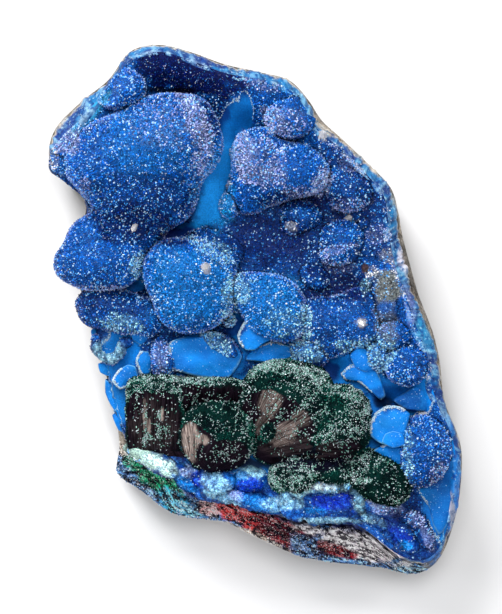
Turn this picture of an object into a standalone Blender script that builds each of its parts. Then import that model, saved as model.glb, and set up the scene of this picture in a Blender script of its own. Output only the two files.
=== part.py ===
"""Shattuckite specimen lying on its back: a slab of host rock, the blue botryoidal crust that grew on it,
the malachite sprays in the crust's lower hollow, and the largest of the quartz crystals on the crust.

Run it with: blender --background --python part.py
+Z is out of the crust's face, +Y is towards its high end, and the origin is on the flat back, in the middle.
"""

import math

import bmesh
import bpy
from mathutils import Euler, Matrix, Vector, noise
from mathutils.bvhtree import BVHTree

MM = 0.001

# Driving dimensions, in millimetres.
CRUST = 3.4  # thickness of the blue crust between its balls
FLOOR = 15.8  # height of the crust's floor over the flat back
GAP = 0.3  # between two pieces that touch
EDGE_INSET = 0.15  # how far the crust's edge stays inside the top of the rock
RIM_STARTS = 0.70  # share of the way out where the floor begins to rise or fall to the rim
FOOT_INSET = 2.6  # how far the flat back lies inside the outline
ROUGHNESS = 0.7  # how far the broken sides of the rock wander
CRYSTAL_BURIED = 0.45  # share of a quartz crystal's length that sits in its socket
BALL_FOOT = 0.5  # a blue ball's depth under its widest level, as a share of its height over it
SPRAY_FOOT = 1.0  # the same for the malachite, which grew straight on the rock
FINE_FROM = 5.6  # balls with a radius over this have more facets

# The outline, clockwise from the high end: x, y, how far the rock shows beyond the crust, the rim's height.
EDGE = (
    (-18.9, 39.3, 0.3, 21.5),
    (-14.5, 40.3, 0.3, 22.5),
    (-9.6, 39.2, 0.3, 23.0),
    (-4.5, 37.4, 0.4, 23.0),
    (1.0, 36.2, 0.4, 22.5),
    (5.4, 35.0, 0.6, 22.0),
    (8.2, 32.2, 0.7, 21.5),
    (10.4, 29.0, 1.1, 21.0),
    (13.4, 26.3, 0.6, 20.5),
    (17.2, 22.7, 0.5, 20.5),
    (20.9, 18.9, 0.5, 20.0),
    (22.1, 15.3, 0.6, 20.0),
    (22.9, 11.2, 1.1, 19.5),
    (24.3, 6.0, 1.2, 19.5),
    (25.4, 2.2, 1.2, 19.0),
    (27.2, -2.6, 1.3, 19.0),
    (28.5, -7.6, 0.8, 18.5),
    (29.3, -14.0, 0.6, 18.0),
    (31.4, -20.3, 0.5, 17.5),
    (31.5, -25.4, 0.5, 17.0),
    (30.7, -31.0, 0.6, 16.0),
    (28.7, -36.5, 0.9, 15.0),
    (26.4, -39.3, 1.6, 14.5),
    (23.6, -40.3, 3.6, 14.5),
    (19.0, -39.1, 6.4, 15.0),
    (12.2, -38.4, 6.6, 15.5),
    (6.9, -37.4, 5.6, 15.5),
    (1.4, -35.0, 5.2, 15.5),
    (-4.4, -32.2, 4.0, 15.0),
    (-9.4, -31.5, 4.8, 14.5),
    (-12.9, -30.6, 5.6, 14.5),
    (-17.4, -27.3, 4.9, 14.5),
    (-21.0, -25.0, 3.3, 14.5),
    (-20.8, -21.0, 0.9, 15.0),
    (-21.4, -16.6, 0.2, 14.5),
    (-22.7, -10.8, 0.2, 14.5),
    (-24.6, -4.4, 0.2, 14.5),
    (-26.3, 1.5, 0.2, 15.0),
    (-27.9, 6.6, 0.3, 15.5),
    (-27.2, 11.4, 0.3, 15.5),
    (-26.0, 15.4, 0.3, 15.5),
    (-27.0, 18.0, 0.3, 16.0),
    (-30.6, 21.0, 0.3, 17.0),
    (-31.4, 24.4, 0.4, 18.0),
    (-30.2, 28.0, 0.4, 18.5),
    (-26.1, 31.7, 0.4, 19.5),
    (-22.2, 35.1, 0.3, 20.5),
)

# Swells and hollows of the crust's floor: x, y, radius, height.
SWELLS = (
    (2.5, 11.5, 7.0, 1.6),
    (14.0, 14.0, 8.0, 1.8),
    (13.0, -1.0, 7.0, 1.2),
    (-7.0, 18.5, 4.5, -1.6),
    (-12.0, 11.0, 3.5, -1.6),
    (-16.0, 24.0, 9.0, 1.0),
    (-8.0, -8.0, 5.0, -0.8),
    (24.5, -14.0, 4.0, -1.5),
    (6.0, -18.0, 12.0, -1.6),
)

# The balls of the crust: x, y and height of the centre, radii along X, Y and Z, turn about Z in degrees.
CRUST_BALLS = {
    "dome_middle": (-13.6, 25.0, 20.5, 8.0, 7.4, 9.8, 0),
    "dome_left": (-21.6, 23.2, 19.5, 7.2, 6.4, 9.0, 10),
    "dome_shoulder": (-23.0, 26.6, 19.5, 4.8, 3.8, 7.0, 30),
    "dome_foot": (-16.8, 18.6, 18.5, 8.2, 6.6, 9.0, -12),
    "left_edge_high": (-28.0, 25.0, 17.5, 3.2, 3.4, 6.0, 0),
    "left_edge_low": (-28.4, 21.4, 16.2, 2.8, 2.4, 5.0, -35),
    "top_left": (-19.3, 33.2, 20.0, 4.0, 3.9, 6.0, 0),
    "top_wall": (-8.0, 33.2, 18.0, 5.0, 2.6, 5.0, -15),
    "left_middle": (-22.7, 7.2, 17.2, 6.7, 4.5, 7.0, -5),
    "under_dome": (-18.2, 11.2, 16.8, 4.6, 3.2, 6.2, -10),
    "left_shelf": (-21.2, 0.6, 14.6, 5.5, 3.1, 5.2, -10),
    "left_cup": (-21.9, -5.2, 13.4, 2.9, 3.1, 3.8, 0),
    "stub_high": (-15.6, -1.6, 15.0, 2.0, 2.3, 4.0, 0),
    "stub_right": (-14.0, -6.9, 14.8, 1.5, 3.0, 4.0, -5),
    "plain_left": (-19.2, -9.3, 13.6, 2.1, 2.0, 3.6, 30),
    "centre_ball": (-9.9, 3.0, 18.8, 6.7, 6.9, 8.0, 0),
    "centre_high": (-6.4, 10.4, 17.2, 4.4, 3.0, 5.2, 10),
    "middle_ball": (2.9, 0.2, 17.6, 5.0, 5.1, 6.8, 20),
    "plain_chunk": (-0.2, -3.5, 15.8, 2.7, 2.4, 3.9, 15),
    "plain_pillow": (-7.5, -7.2, 14.6, 5.7, 3.2, 4.2, -5),
    "right_top": (5.5, 28.7, 19.6, 3.9, 3.1, 6.2, 0),
    "right_ball_left": (0.9, 22.9, 19.2, 4.1, 4.3, 7.2, 0),
    "right_ball": (6.9, 21.0, 18.8, 4.5, 3.9, 6.8, -10),
    "right_ball_foot": (1.2, 17.5, 17.4, 3.7, 2.8, 5.6, 0),
    "right_high": (14.2, 22.2, 17.8, 3.2, 2.8, 5.0, -35),
    "right_middle": (14.4, 17.7, 17.8, 4.0, 3.7, 6.0, 0),
    "right_inner": (7.4, 14.0, 17.4, 3.4, 2.6, 5.2, -15),
    "right_low": (13.1, 9.3, 17.4, 4.0, 3.3, 5.8, 0),
    "right_wall": (18.2, 10.8, 16.6, 2.5, 4.2, 4.6, 10),
    "lower_ball": (10.0, -1.2, 16.6, 3.9, 4.0, 5.0, 0),
    "lower_ball_right": (14.5, -0.4, 16.4, 3.5, 3.9, 4.8, 0),
    "lower_frost": (7.8, -6.6, 15.8, 2.4, 2.1, 3.8, 0),
    "grey_patch": (20.6, 3.2, 15.6, 3.1, 4.6, 5.2, 15),
    "right_pair_high": (21.2, -4.0, 16.2, 3.6, 3.2, 5.2, 0),
    "right_pair_low": (22.5, -8.4, 16.8, 3.9, 3.8, 5.6, 0),
    "plain_right": (15.6, -8.2, 14.6, 2.8, 2.9, 3.6, 0),
    "plain_ridge": (24.8, -13.0, 13.6, 4.2, 2.0, 3.2, 20),
    "plain_knob": (20.6, -17.2, 14.6, 3.2, 3.0, 4.6, 0),
    "far_right": (26.0, -20.9, 15.8, 4.0, 5.5, 6.6, 10),
    "plain_slope": (28.0, -29.0, 12.4, 2.6, 5.0, 3.2, -5),
    "edge_blue_1": (-9.8, -25.2, 12.4, 2.3, 1.7, 4.2, -20),
    "edge_blue_2": (-4.9, -26.6, 12.6, 2.7, 2.0, 4.4, 0),
    "edge_blue_3": (-0.3, -25.9, 12.8, 3.3, 2.4, 4.6, 0),
    "edge_cup": (10.8, -29.0, 12.6, 5.6, 3.0, 4.4, 5),
    "edge_lilac": (19.6, -30.2, 12.8, 3.5, 2.2, 4.6, -20),
    "edge_deep": (21.6, -34.0, 11.6, 3.0, 2.4, 4.2, -30),
    "edge_corner": (25.0, -33.4, 12.2, 2.2, 3.8, 4.6, 25),
}

# The malachite sprays, in the same numbers.
SPRAY_BALLS = {
    "block": (-14.9, -16.2, 15.6, 4.7, 6.9, 6.8, 0),
    "block_corner": (-17.0, -12.6, 15.6, 2.6, 3.2, 5.8, 0),
    "block_join": (-9.8, -15.2, 14.6, 2.4, 2.8, 5.2, 0),
    "bridge": (-4.5, -12.4, 15.8, 8.6, 3.6, 6.0, 0),
    "ball": (-4.8, -18.3, 17.2, 6.1, 5.5, 6.8, 0),
    "fan": (5.4, -14.8, 16.6, 8.0, 7.6, 8.6, 0),
    "fan_right": (12.2, -15.8, 15.6, 5.6, 6.0, 7.4, -20),
    "fan_foot": (8.6, -21.2, 15.2, 7.0, 3.6, 5.6, -8),
    "right_lobe": (19.2, -25.8, 14.8, 4.9, 5.2, 5.8, 30),
    "right_join": (13.9, -24.0, 14.4, 3.4, 2.6, 5.2, 0),
    "front_lobe": (6.3, -25.3, 14.4, 4.2, 2.6, 5.2, 0),
}

# The largest quartz crystals: x, y, width across the flats, length, lean from upright, heading, both in degrees.
CRYSTALS = {
    "quartz_crystal_top_right": (6.9, 24.9, 0.9, 2.0, 60, 250),
    "quartz_crystal_rim": (10.2, 26.0, 1.3, 2.4, 25, 60),
    "quartz_crystal_upper_left": (-3.7, 18.7, 0.9, 1.8, 30, 200),
    "quartz_crystal_under_dome": (-17.8, 12.4, 0.7, 1.8, 60, 245),
    "quartz_crystal_middle_right": (14.2, 13.8, 0.8, 1.6, 40, 20),
    "quartz_crystal_centre_ball": (-7.2, 6.3, 1.2, 2.0, 35, 100),
    "quartz_crystal_lower_right": (16.1, -2.0, 1.2, 2.0, 30, 310),
    "quartz_crystal_far_right": (25.7, -15.6, 0.7, 1.9, 78, 10),
}

ROCK_COLOUR = (0.42, 0.36, 0.30)
SHATTUCKITE_COLOUR = (0.02, 0.16, 0.62)
MALACHITE_COLOUR = (0.02, 0.10, 0.06)
QUARTZ_COLOUR = (0.90, 0.90, 0.94)


def clear_scene():
    for obj in list(bpy.data.objects):
        bpy.data.objects.remove(obj)


def finish(name, colour, roughness):
    """A Principled material of one colour."""
    material = bpy.data.materials.new(name)
    material.use_nodes = True
    shader = material.node_tree.nodes["Principled BSDF"]
    shader.inputs["Base Color"].default_value = (*colour, 1.0)
    shader.inputs["Roughness"].default_value = roughness
    shader.inputs["Metallic"].default_value = 0.0
    return material


def smooth_step(low, high, value):
    share = min(1.0, max(0.0, (value - low) / (high - low)))
    return share * share * (3 - 2 * share)


def floor_height(x, y, share, rim):
    """Height of the crust's floor: a level with swells, running up or down to the rim's height at the outline."""
    level = FLOOR
    for at_x, at_y, radius, height in SWELLS:
        level += height * math.exp(-((x - at_x) ** 2 + (y - at_y) ** 2) / radius**2)
    return level + (rim - level) * smooth_step(RIM_STARTS, 1.0, share)


def object_from(name, mesh_data, material=None):
    mesh = bpy.data.meshes.new(name)
    mesh_data.to_mesh(mesh)
    mesh_data.free()
    if material is not None:
        mesh.materials.append(material)
    obj = bpy.data.objects.new(name, mesh)
    bpy.context.scene.collection.objects.link(obj)
    return obj


def ring_solid(name, rings, material=None):
    """A closed body through rings of points, all with the same count, its first and last ring capped."""
    shape = bmesh.new()
    loops = [[shape.verts.new(point * MM) for point in ring] for ring in rings]
    count = len(loops[0])
    for upper, lower in zip(loops, loops[1:]):
        for i in range(count):
            j = (i + 1) % count
            shape.faces.new((upper[i], upper[j], lower[j], lower[i]))
    shape.faces.new(loops[0])
    shape.faces.new(loops[-1])
    bmesh.ops.triangulate(shape, faces=shape.faces, quad_method="FIXED")
    bmesh.ops.recalc_face_normals(shape, faces=shape.faces)
    return object_from(name, shape, material)


def pulled_in(x, y, distance):
    """A point of the outline moved towards the middle."""
    length = math.hypot(x, y)
    return x * (1 - distance / length), y * (1 - distance / length)


def floor_ring(share, lower, inset=0.0):
    """One ring of the floor's surface, at a share of the way out to the crust's edge and lowered by a distance."""
    ring = []
    for x, y, lip, rim in EDGE:
        edge_x, edge_y = pulled_in(x, y, lip + inset)
        at_x, at_y = edge_x * share, edge_y * share
        ring.append(Vector((at_x, at_y, floor_height(at_x, at_y, share, rim) - lower)))
    return ring


def level_ring(ring):
    """The same ring laid flat at its mean height, so that a face can cap it."""
    mean = sum(point.z for point in ring) / len(ring)
    return [Vector((point.x, point.y, mean)) for point in ring]


SHARES = (0.25, 0.52, 0.74, 0.90, 1.0)


def crust_floor(name, material):
    """The crust without its balls. Its underside reaches into the rock, which is then cut away from it."""
    top = [floor_ring(share, 0.0, EDGE_INSET) for share in reversed(SHARES)]
    top[-1] = level_ring(top[-1])
    under = [floor_ring(share, CRUST + 1.0, EDGE_INSET) for share in SHARES]
    under[0] = level_ring(under[0])
    return ring_solid(name, [*under, *top], material)


def rock_side(height_share, out, grow):
    """One ring of the rock's broken side, between the flat back and the crust's underside."""
    ring = []
    for x, y, lip, rim in EDGE:
        wander = ROUGHNESS * noise.noise(Vector((x * 0.35, y * 0.35, height_share * 4)))
        at_x, at_y = pulled_in(x, y, out + wander - grow)
        under_crust = rim - CRUST - GAP
        slope = under_crust * (1 - min(0.75, lip / 8))
        ring.append(Vector((at_x, at_y, height_share * slope)))
    return ring


def rock(name, grow=0.0, material=None):
    """The host rock: a flat sawn back, broken sides, and under the crust a top that follows the crust."""
    top = [floor_ring(share, CRUST + GAP - grow) for share in SHARES]
    top[0] = level_ring(top[0])
    rings = [
        *top,
        rock_side(0.92, 0.0, grow),
        rock_side(0.55, 0.1, grow),
        rock_side(0.22, 0.7, grow),
        [Vector((*pulled_in(x, y, FOOT_INSET - grow), -grow)) for x, y, _, _ in EDGE],
    ]
    return ring_solid(name, rings, material)


def ball(name, numbers, foot, grow=0.0):
    """A ball of the crust or of the malachite: half an ellipsoid, with upright sides below it down to its foot."""
    x, y, z, rx, ry, rz, turn = numbers
    shape = bmesh.new()
    fineness = 3 if min(rx, ry) > FINE_FROM else 2
    bmesh.ops.create_icosphere(shape, subdivisions=fineness, radius=1.0)
    for vertex in shape.verts:
        flat = math.hypot(vertex.co.x, vertex.co.y)
        if vertex.co.z < 0:
            vertex.co.z *= foot
        if vertex.co.z < 0 and flat > 0.3:
            vertex.co.x /= flat
            vertex.co.y /= flat
    size = Matrix.Diagonal(((rx + grow) * MM, (ry + grow) * MM, (rz + grow) * MM, 1.0))
    place = Matrix.Translation(Vector((x, y, z)) * MM)
    shape.transform(place @ Matrix.Rotation(math.radians(turn), 4, "Z") @ size)
    return object_from(name, shape)


def helpers(name, objects):
    """A collection of cutters or of shapes to join, none of them a part."""
    group = bpy.data.collections.new(name)
    bpy.context.scene.collection.children.link(group)
    for obj in objects:
        obj.hide_render = True
        obj.display_type = "WIRE"
        bpy.context.scene.collection.objects.unlink(obj)
        group.objects.link(obj)
    return group


def combine(obj, operation, other):
    """Adds an exact Boolean of an object or of a whole collection."""
    modifier = obj.modifiers.new(operation.title(), "BOOLEAN")
    modifier.operation = operation
    modifier.solver = "EXACT"
    if isinstance(other, bpy.types.Collection):
        modifier.operand_type = "COLLECTION"
        modifier.collection = other
    else:
        modifier.object = other


def joined(name, objects):
    """The first object, with the others joined to it by an exact Boolean."""
    first, *others = objects
    first.name = name
    combine(first, "UNION", helpers(f"joined_to_{name}", others))
    return first


def surface_of(obj):
    return BVHTree.FromObject(obj, bpy.context.evaluated_depsgraph_get())


def crystal(name, numbers, surface, grow=0.0, material=None):
    """A six-sided quartz crystal with a pointed end, sunk into the crust's surface by part of its length."""
    x, y, width, length, lean, heading = numbers
    radius = width / math.sqrt(3) + grow
    tip = width * 0.62
    shape = bmesh.new()
    bmesh.ops.create_circle(shape, cap_ends=True, segments=6, radius=radius * MM)
    base = list(shape.faces)
    prism = bmesh.ops.extrude_face_region(shape, geom=base)
    upper = [item for item in prism["geom"] if isinstance(item, bmesh.types.BMVert)]
    bmesh.ops.translate(shape, verts=upper, vec=(0, 0, (length - tip + grow) * MM))
    end = [item for item in prism["geom"] if isinstance(item, bmesh.types.BMFace)][0]
    bmesh.ops.poke(shape, faces=[end], offset=(tip + grow) * MM)
    bmesh.ops.translate(shape, verts=shape.verts, vec=(0, 0, -(CRYSTAL_BURIED * length + grow / 2) * MM))
    bmesh.ops.recalc_face_normals(shape, faces=shape.faces)
    hit, _, _, _ = surface.ray_cast(Vector((x, y, 60)) * MM, Vector((0, 0, -1)))
    turn = Euler((0, math.radians(lean), math.radians(heading))).to_matrix().to_4x4()
    shape.transform(Matrix.Translation(hit) @ turn)
    return object_from(name, shape, material)


def main():
    clear_scene()
    stone = finish("host_rock", ROCK_COLOUR, 0.8)
    blue = finish("shattuckite", SHATTUCKITE_COLOUR, 0.45)
    green = finish("malachite", MALACHITE_COLOUR, 0.6)
    clear = finish("quartz", QUARTZ_COLOUR, 0.1)

    rock("host_rock", material=stone)
    rock_space = rock("rock_space", grow=GAP)
    floor = crust_floor("floor", blue)
    balls = [ball("ball", numbers, BALL_FOOT) for numbers in CRUST_BALLS.values()]
    crust = joined("shattuckite_crust", [floor, *balls])

    sprays = SPRAY_BALLS.values()
    malachite = joined("malachite_sprays", [ball("spray", numbers, SPRAY_FOOT) for numbers in sprays])
    malachite.data.materials.append(green)
    space = joined("spray_space", [ball("space", numbers, SPRAY_FOOT, GAP) for numbers in sprays])
    combine(malachite, "DIFFERENCE", rock_space)
    combine(crust, "DIFFERENCE", rock_space)
    combine(crust, "DIFFERENCE", space)

    surface = surface_of(crust)
    for name, numbers in CRYSTALS.items():
        crystal(name, numbers, surface, material=clear)
    sockets = joined("sockets", [crystal("socket", numbers, surface, GAP) for numbers in CRYSTALS.values()])
    combine(crust, "DIFFERENCE", sockets)
    helpers("cutters", [rock_space, space, sockets])


main()
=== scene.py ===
"""The looks of a shattuckite specimen: host rock, blue botryoidal crust, malachite sprays and quartz druse.

Heights are in millimetres over the flat back. Places in the tables are in squares of a 0.15 mm working
grid, x to the right and y downwards from its upper left corner, and so are widths. The functions turn them
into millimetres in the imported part's frame. Meshes, bumps and the camera turn those into metres.
"""

import math

import bpy
import numpy as np
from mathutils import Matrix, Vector

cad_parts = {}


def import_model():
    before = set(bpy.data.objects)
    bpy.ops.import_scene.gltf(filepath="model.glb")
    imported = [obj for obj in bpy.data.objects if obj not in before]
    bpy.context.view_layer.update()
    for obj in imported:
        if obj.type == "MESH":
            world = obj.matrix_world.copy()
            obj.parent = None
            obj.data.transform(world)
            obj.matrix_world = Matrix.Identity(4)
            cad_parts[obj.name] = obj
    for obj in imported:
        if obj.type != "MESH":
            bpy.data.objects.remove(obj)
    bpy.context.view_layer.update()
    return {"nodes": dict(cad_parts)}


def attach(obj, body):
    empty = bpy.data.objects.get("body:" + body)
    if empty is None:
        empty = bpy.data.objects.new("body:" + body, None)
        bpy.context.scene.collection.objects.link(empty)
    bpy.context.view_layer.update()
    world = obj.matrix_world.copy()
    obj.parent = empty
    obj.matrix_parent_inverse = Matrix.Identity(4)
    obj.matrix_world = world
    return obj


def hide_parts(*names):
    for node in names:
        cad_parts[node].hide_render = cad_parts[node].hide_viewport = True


MM = 0.001
SQUARE = 0.15
GRID_CORNER = (-38.1, 46.5)
FULL_TURN = 2 * math.pi
UP = (0.0, 0.0, 1.0)

# The crust and the rock.
FLOOR = 15.8  # height of the crust's floor over the flat back
CRUST = 3.4  # thickness of the crust
GAP = 0.3  # between the crust and the rock
RIM_STARTS = 0.70  # share of the way out where the floor begins to rise or fall to the rim
FOOT_INSET = 2.6  # how far the flat back lies inside the outline
SKIN = 0.35  # how far the outline is drawn in, so that its roughness stays inside the part's box

# The outline, clockwise from the high end: x, y, how far the rock shows beyond the crust, the rim's height,
# and how wide the crust's broken edge is. This one is in millimetres.
OUTLINE = (
    (-18.9, 39.3, 0.3, 21.5, 1.3), (-14.5, 40.3, 0.3, 22.5, 1.5), (-9.6, 39.2, 0.3, 23.0, 1.8),
    (-4.5, 37.4, 0.3, 23.0, 1.7), (1.0, 36.2, 0.3, 22.5, 1.4), (5.4, 35.0, 0.3, 22.0, 1.6),
    (8.2, 32.2, 0.4, 21.5, 1.7), (10.4, 29.0, 0.7, 21.0, 1.4), (13.4, 26.3, 0.35, 20.5, 1.5),
    (17.2, 22.7, 0.3, 20.5, 1.5), (20.9, 18.9, 0.3, 20.0, 1.8), (22.1, 15.3, 0.4, 20.0, 2.0),
    (22.9, 11.2, 0.7, 19.5, 1.9), (24.3, 6.0, 0.8, 19.5, 1.9), (25.4, 2.2, 0.8, 19.0, 1.6),
    (27.2, -2.6, 0.7, 19.0, 2.1), (28.5, -7.6, 0.4, 18.5, 2.0), (29.3, -14.0, 0.35, 18.0, 1.9),
    (31.6, -20.3, 0.3, 17.5, 1.7), (31.8, -25.4, 0.3, 17.0, 1.4), (31.1, -31.0, 0.4, 16.0, 1.2),
    (29.3, -36.7, 0.5, 15.0, 1.0), (27.1, -39.6, 1.2, 14.5, 0.9), (24.1, -40.6, 3.1, 14.5, 0.8),
    (19.2, -39.6, 6.8, 15.0, 0.8), (12.3, -38.9, 6.6, 15.3, 0.8), (7.0, -37.9, 5.7, 15.2, 0.8),
    (1.4, -35.5, 5.1, 15.0, 0.8), (-4.5, -32.8, 4.3, 14.6, 0.8), (-9.4, -32.1, 5.0, 14.2, 0.8),
    (-13.0, -31.2, 5.6, 14.2, 0.8), (-17.6, -27.9, 6.4, 14.2, 0.8), (-21.1, -25.2, 4.8, 14.4, 0.7),
    (-20.8, -21.0, 1.5, 15.0, 0.6), (-21.4, -16.6, 0.2, 14.5, 0.5), (-22.7, -10.8, 0.2, 14.5, 0.5),
    (-24.6, -4.4, 0.2, 14.5, 0.5), (-26.3, 1.5, 0.2, 15.0, 0.5), (-27.9, 6.6, 0.3, 15.5, 0.5),
    (-27.2, 11.4, 0.3, 15.5, 0.5), (-26.0, 15.4, 0.3, 15.5, 0.5), (-27.0, 18.0, 0.3, 16.0, 0.5),
    (-30.6, 21.0, 0.3, 17.0, 0.6), (-31.4, 24.4, 0.4, 18.0, 0.7), (-30.2, 28.0, 0.4, 18.5, 2.1),
    (-26.3, 31.9, 0.3, 19.5, 2.1), (-22.2, 35.1, 0.3, 20.5, 1.0),
)

# Section of the crust's broken edge, from the crest out and down: share of the edge's width inwards from the
# outside, and depth under the crest in millimetres.
EDGE_SECTION = (
    (2.2, 1.3), (1.6, 0.45), (1.3, 0.10), (1.12, -0.02), (1.0, -0.05), (0.88, 0.06), (0.74, 0.28),
    (0.60, 0.52), (0.46, 0.78), (0.33, 1.05), (0.21, 1.35), (0.11, 1.68), (0.04, 2.0), (0.0, 2.35),
    (0.0, 2.7), (0.02, 3.05), (0.10, 3.35), (0.8, 3.4), (2.2, 2.8),
)

# Swells and hollows of the crust's floor: x, y, radius, height in millimetres.
SWELLS = (
    (270, 233, 47, 0.8), (347, 240, 53, 1.6), (340, 316, 47, 0.6), (325, 145, 30, 1.2),
    (206, 184, 30, -2.2), (174, 236, 20, -3.0), (132, 287, 12, -2.0), (205, 246, 20, 1.0),
    (147, 150, 60, 1.0), (201, 363, 33, -0.8), (232, 322, 14, -1.6), (417, 403, 27, -1.5),
    (294, 430, 80, -1.6), (180, 92, 26, -2.4), (215, 96, 16, -1.6), (342, 282, 22, -1.6),
    (330, 372, 16, -1.6), (388, 402, 8, -1.6),
)

# The druse's masses. Balls of one mass run together softly, and masses meet in creases. Each ball is x, y,
# height of the centre in millimetres, radii along x and y, upright radius in millimetres, turn in degrees.
DRUSE = {
    "dome": (
        (164, 143, 20.0, 51, 48, 9.0), (108, 161, 19.0, 42, 34, 8.4, 10), (106, 146, 18.8, 27, 18, 6.6, 20),
        (136, 156, 20.0, 38, 38, 8.6), (199, 133, 19.0, 20, 34, 6.2, 15),
        (140, 184, 18.0, 52, 44, 8.4, -12), (170, 196, 17.0, 24, 26, 6.2),
        (131, 226, 16.0, 33, 20, 5.0, -10), (104, 262, 16.6, 40, 28, 6.0, -3), (88, 238, 16.2, 20, 20, 5.0),
        (76, 266, 16.0, 21, 17, 4.4),
    ),
    "left_edge_high": ((69, 141, 17.6, 18, 20, 5.0),),
    "left_edge_low": ((65, 163, 16.6, 16, 13, 4.0, -35),),
    "top_left": ((121, 90, 20.2, 26, 21, 6.4),),
    "top_band": ((268, 99, 18.4, 27, 9, 2.2, -25),),
    "left_shelf": (
        (112, 306, 14.8, 36, 17, 4.4, -8), (96, 313, 14.0, 15, 13, 3.6, 20),
        (130, 318, 14.6, 22, 12, 4.2, 5), (150, 320, 15.0, 12, 16, 3.8),
    ),
    "stub": ((160, 356, 14.8, 9, 19, 4.0, 5), (165, 366, 14.6, 9, 10, 3.6, 5)),
    "centre": (
        (187, 275, 18.0, 43, 32, 7.4), (191, 305, 17.6, 35, 28, 6.8), (170, 258, 16.8, 19, 15, 5.2, 20),
        (214, 248, 15.6, 30, 18, 2.8, -10), (218, 292, 16.4, 20, 22, 5.2),
    ),
    "middle": (
        (272, 306, 17.0, 31, 32, 6.0, 20), (243, 288, 16.6, 19, 14, 4.6, 20), (288, 322, 16.4, 14, 18, 5.0),
    ),
    "knob_high": ((238, 307, 16.4, 6, 5, 2.0),),
    "knob_low": ((229, 321, 15.4, 6, 6, 2.2),),
    "pillow_frost": ((214, 341, 15.4, 15, 8, 2.8, -25), (231, 351, 15.4, 12, 6, 2.6, -38)),
    "right_top": ((289, 119, 19.2, 24, 20, 5.8), (302, 113, 19.0, 13, 13, 4.8)),
    "right_ball": (
        (258, 156, 18.6, 25, 29, 7.2, 10), (298, 170, 18.4, 31, 26, 6.6, -10),
        (268, 180, 17.8, 26, 20, 5.6, -10), (248, 192, 16.8, 20, 21, 4.2),
    ),
    "left_of_foot": ((231, 203, 16.4, 11, 15, 3.4, -20),),
    "right_middle": ((343, 168, 17.4, 15, 12, 2.8, -30), (351, 192, 17.6, 24, 20, 4.6)),
    "right_inner": ((303, 214, 16.6, 20, 13, 2.8, -15), (292, 227, 16.8, 8, 5, 2.0, -20)),
    "right_low": ((343, 236, 16.8, 22, 16, 3.6), (338, 254, 16.4, 18, 11, 3.4, 8)),
    "inner_small": ((314, 276, 15.8, 17, 12, 2.4, -30),),
    "lower": (
        (320, 320, 16.0, 24, 22, 4.0), (348, 320, 16.0, 22, 22, 3.8), (362, 304, 15.6, 16, 16, 3.4),
        (366, 330, 15.4, 14, 15, 3.2), (332, 344, 15.0, 18, 13, 2.8),
    ),
    "lower_frost": ((305, 352, 15.4, 16, 13, 3.4), (318, 358, 15.0, 8, 7, 2.4)),
    "grey_patch": ((386, 288, 15.6, 14, 20, 4.0, 15), (388, 310, 15.4, 13, 13, 3.4)),
    "lilac_patch": ((383, 256, 17.0, 9, 8, 2.4),),
    "wall_lump_1": ((375, 234, 17.2, 7, 6, 1.8),),
    "wall_lump_2": ((366, 222, 17.6, 7, 6, 1.6),),
    "wall_lump_3": ((383, 240, 17.6, 4, 4, 1.4),),
    "right_pair_high": ((394, 335, 16.2, 19, 16, 4.0),),
    "right_pair_low": ((407, 366, 16.4, 21, 21, 5.2),),
    "frost_shoulder": ((377, 356, 15.4, 12, 17, 3.6),),
    "far_right": ((427, 446, 15.6, 25, 31, 6.2, 8), (420, 468, 15.2, 18, 19, 5.0)),
    "edge_mint": ((145, 458, 12.8, 25, 7, 3.4, -23), (166, 469, 12.6, 14, 8, 3.4, -34)),
    "edge_hollow": ((201, 480, 12.0, 11, 8, 3.4, -20), (184, 484, 12.0, 13, 7, 3.4, -40)),
    "edge_foam": (
        (216, 486, 12.8, 12, 11, 4.0, -25), (228, 480, 12.8, 9, 7, 4.0), (200, 496, 12.0, 7, 4, 3.0, -35),
    ),
    "edge_round": ((250, 481, 13.4, 18, 14, 4.6),),
    "edge_middle": ((238, 498, 12.8, 17, 7, 3.6, -12), (264, 505, 12.8, 22, 9, 3.6, -18)),
    "edge_cup_left": ((289, 503, 13.0, 12, 12, 3.8), (297, 515, 12.6, 10, 8, 3.4, -20)),
    "edge_cup_floor": ((330, 505, 12.0, 28, 13, 3.0, -5),),
    "edge_lilac": ((383, 507, 13.4, 19, 11, 4.0, -22), (372, 502, 13.4, 9, 8, 3.6)),
    "edge_deep": ((404, 533, 12.4, 16, 13, 3.8, -30), (411, 547, 12.0, 10, 9, 3.4)),
    "edge_corner": ((426, 538, 12.8, 8, 14, 4.0, 30), (414, 520, 13.0, 11, 9, 3.6)),
}

# Rows of small knobs that run together: height of the centres, radius, upright radius, then the row's path.
KNOB_ROWS = {
    "cup_rim": (15.2, 4.4, 1.2, (
        (95, 340), (96, 350), (101, 358), (109, 361), (116, 358), (120, 352), (124, 345), (129, 341),
    )),
    "edge_cup_rim": (15.4, 5.6, 1.7, (
        (283, 500), (291, 494), (302, 491), (322, 489), (334, 489), (345, 487), (354, 489), (360, 498),
        (361, 508), (355, 514),
    )),
    "edge_cup_low": (14.4, 4.4, 1.7, ((306, 514), (314, 521), (332, 520), (348, 518), (358, 516))),
    "edge_low_rim": (14.2, 4.4, 1.7, (
        (364, 518), (376, 520), (384, 526), (387, 536), (394, 543), (400, 548),
    )),
    "edge_knobs": (14.8, 4.6, 1.5, ((179, 470), (184, 474), (191, 472), (197, 475))),
    "edge_foam_rim": (14.2, 4.8, 1.8, ((203, 491), (211, 497), (222, 499), (232, 500))),
}

# Where the crust is covered in small knobs: x, y, widths along x and y, turn.
KNOBBLY = ((284, 504, 160, 36, -21), (112, 350, 22, 18, 0))

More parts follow.
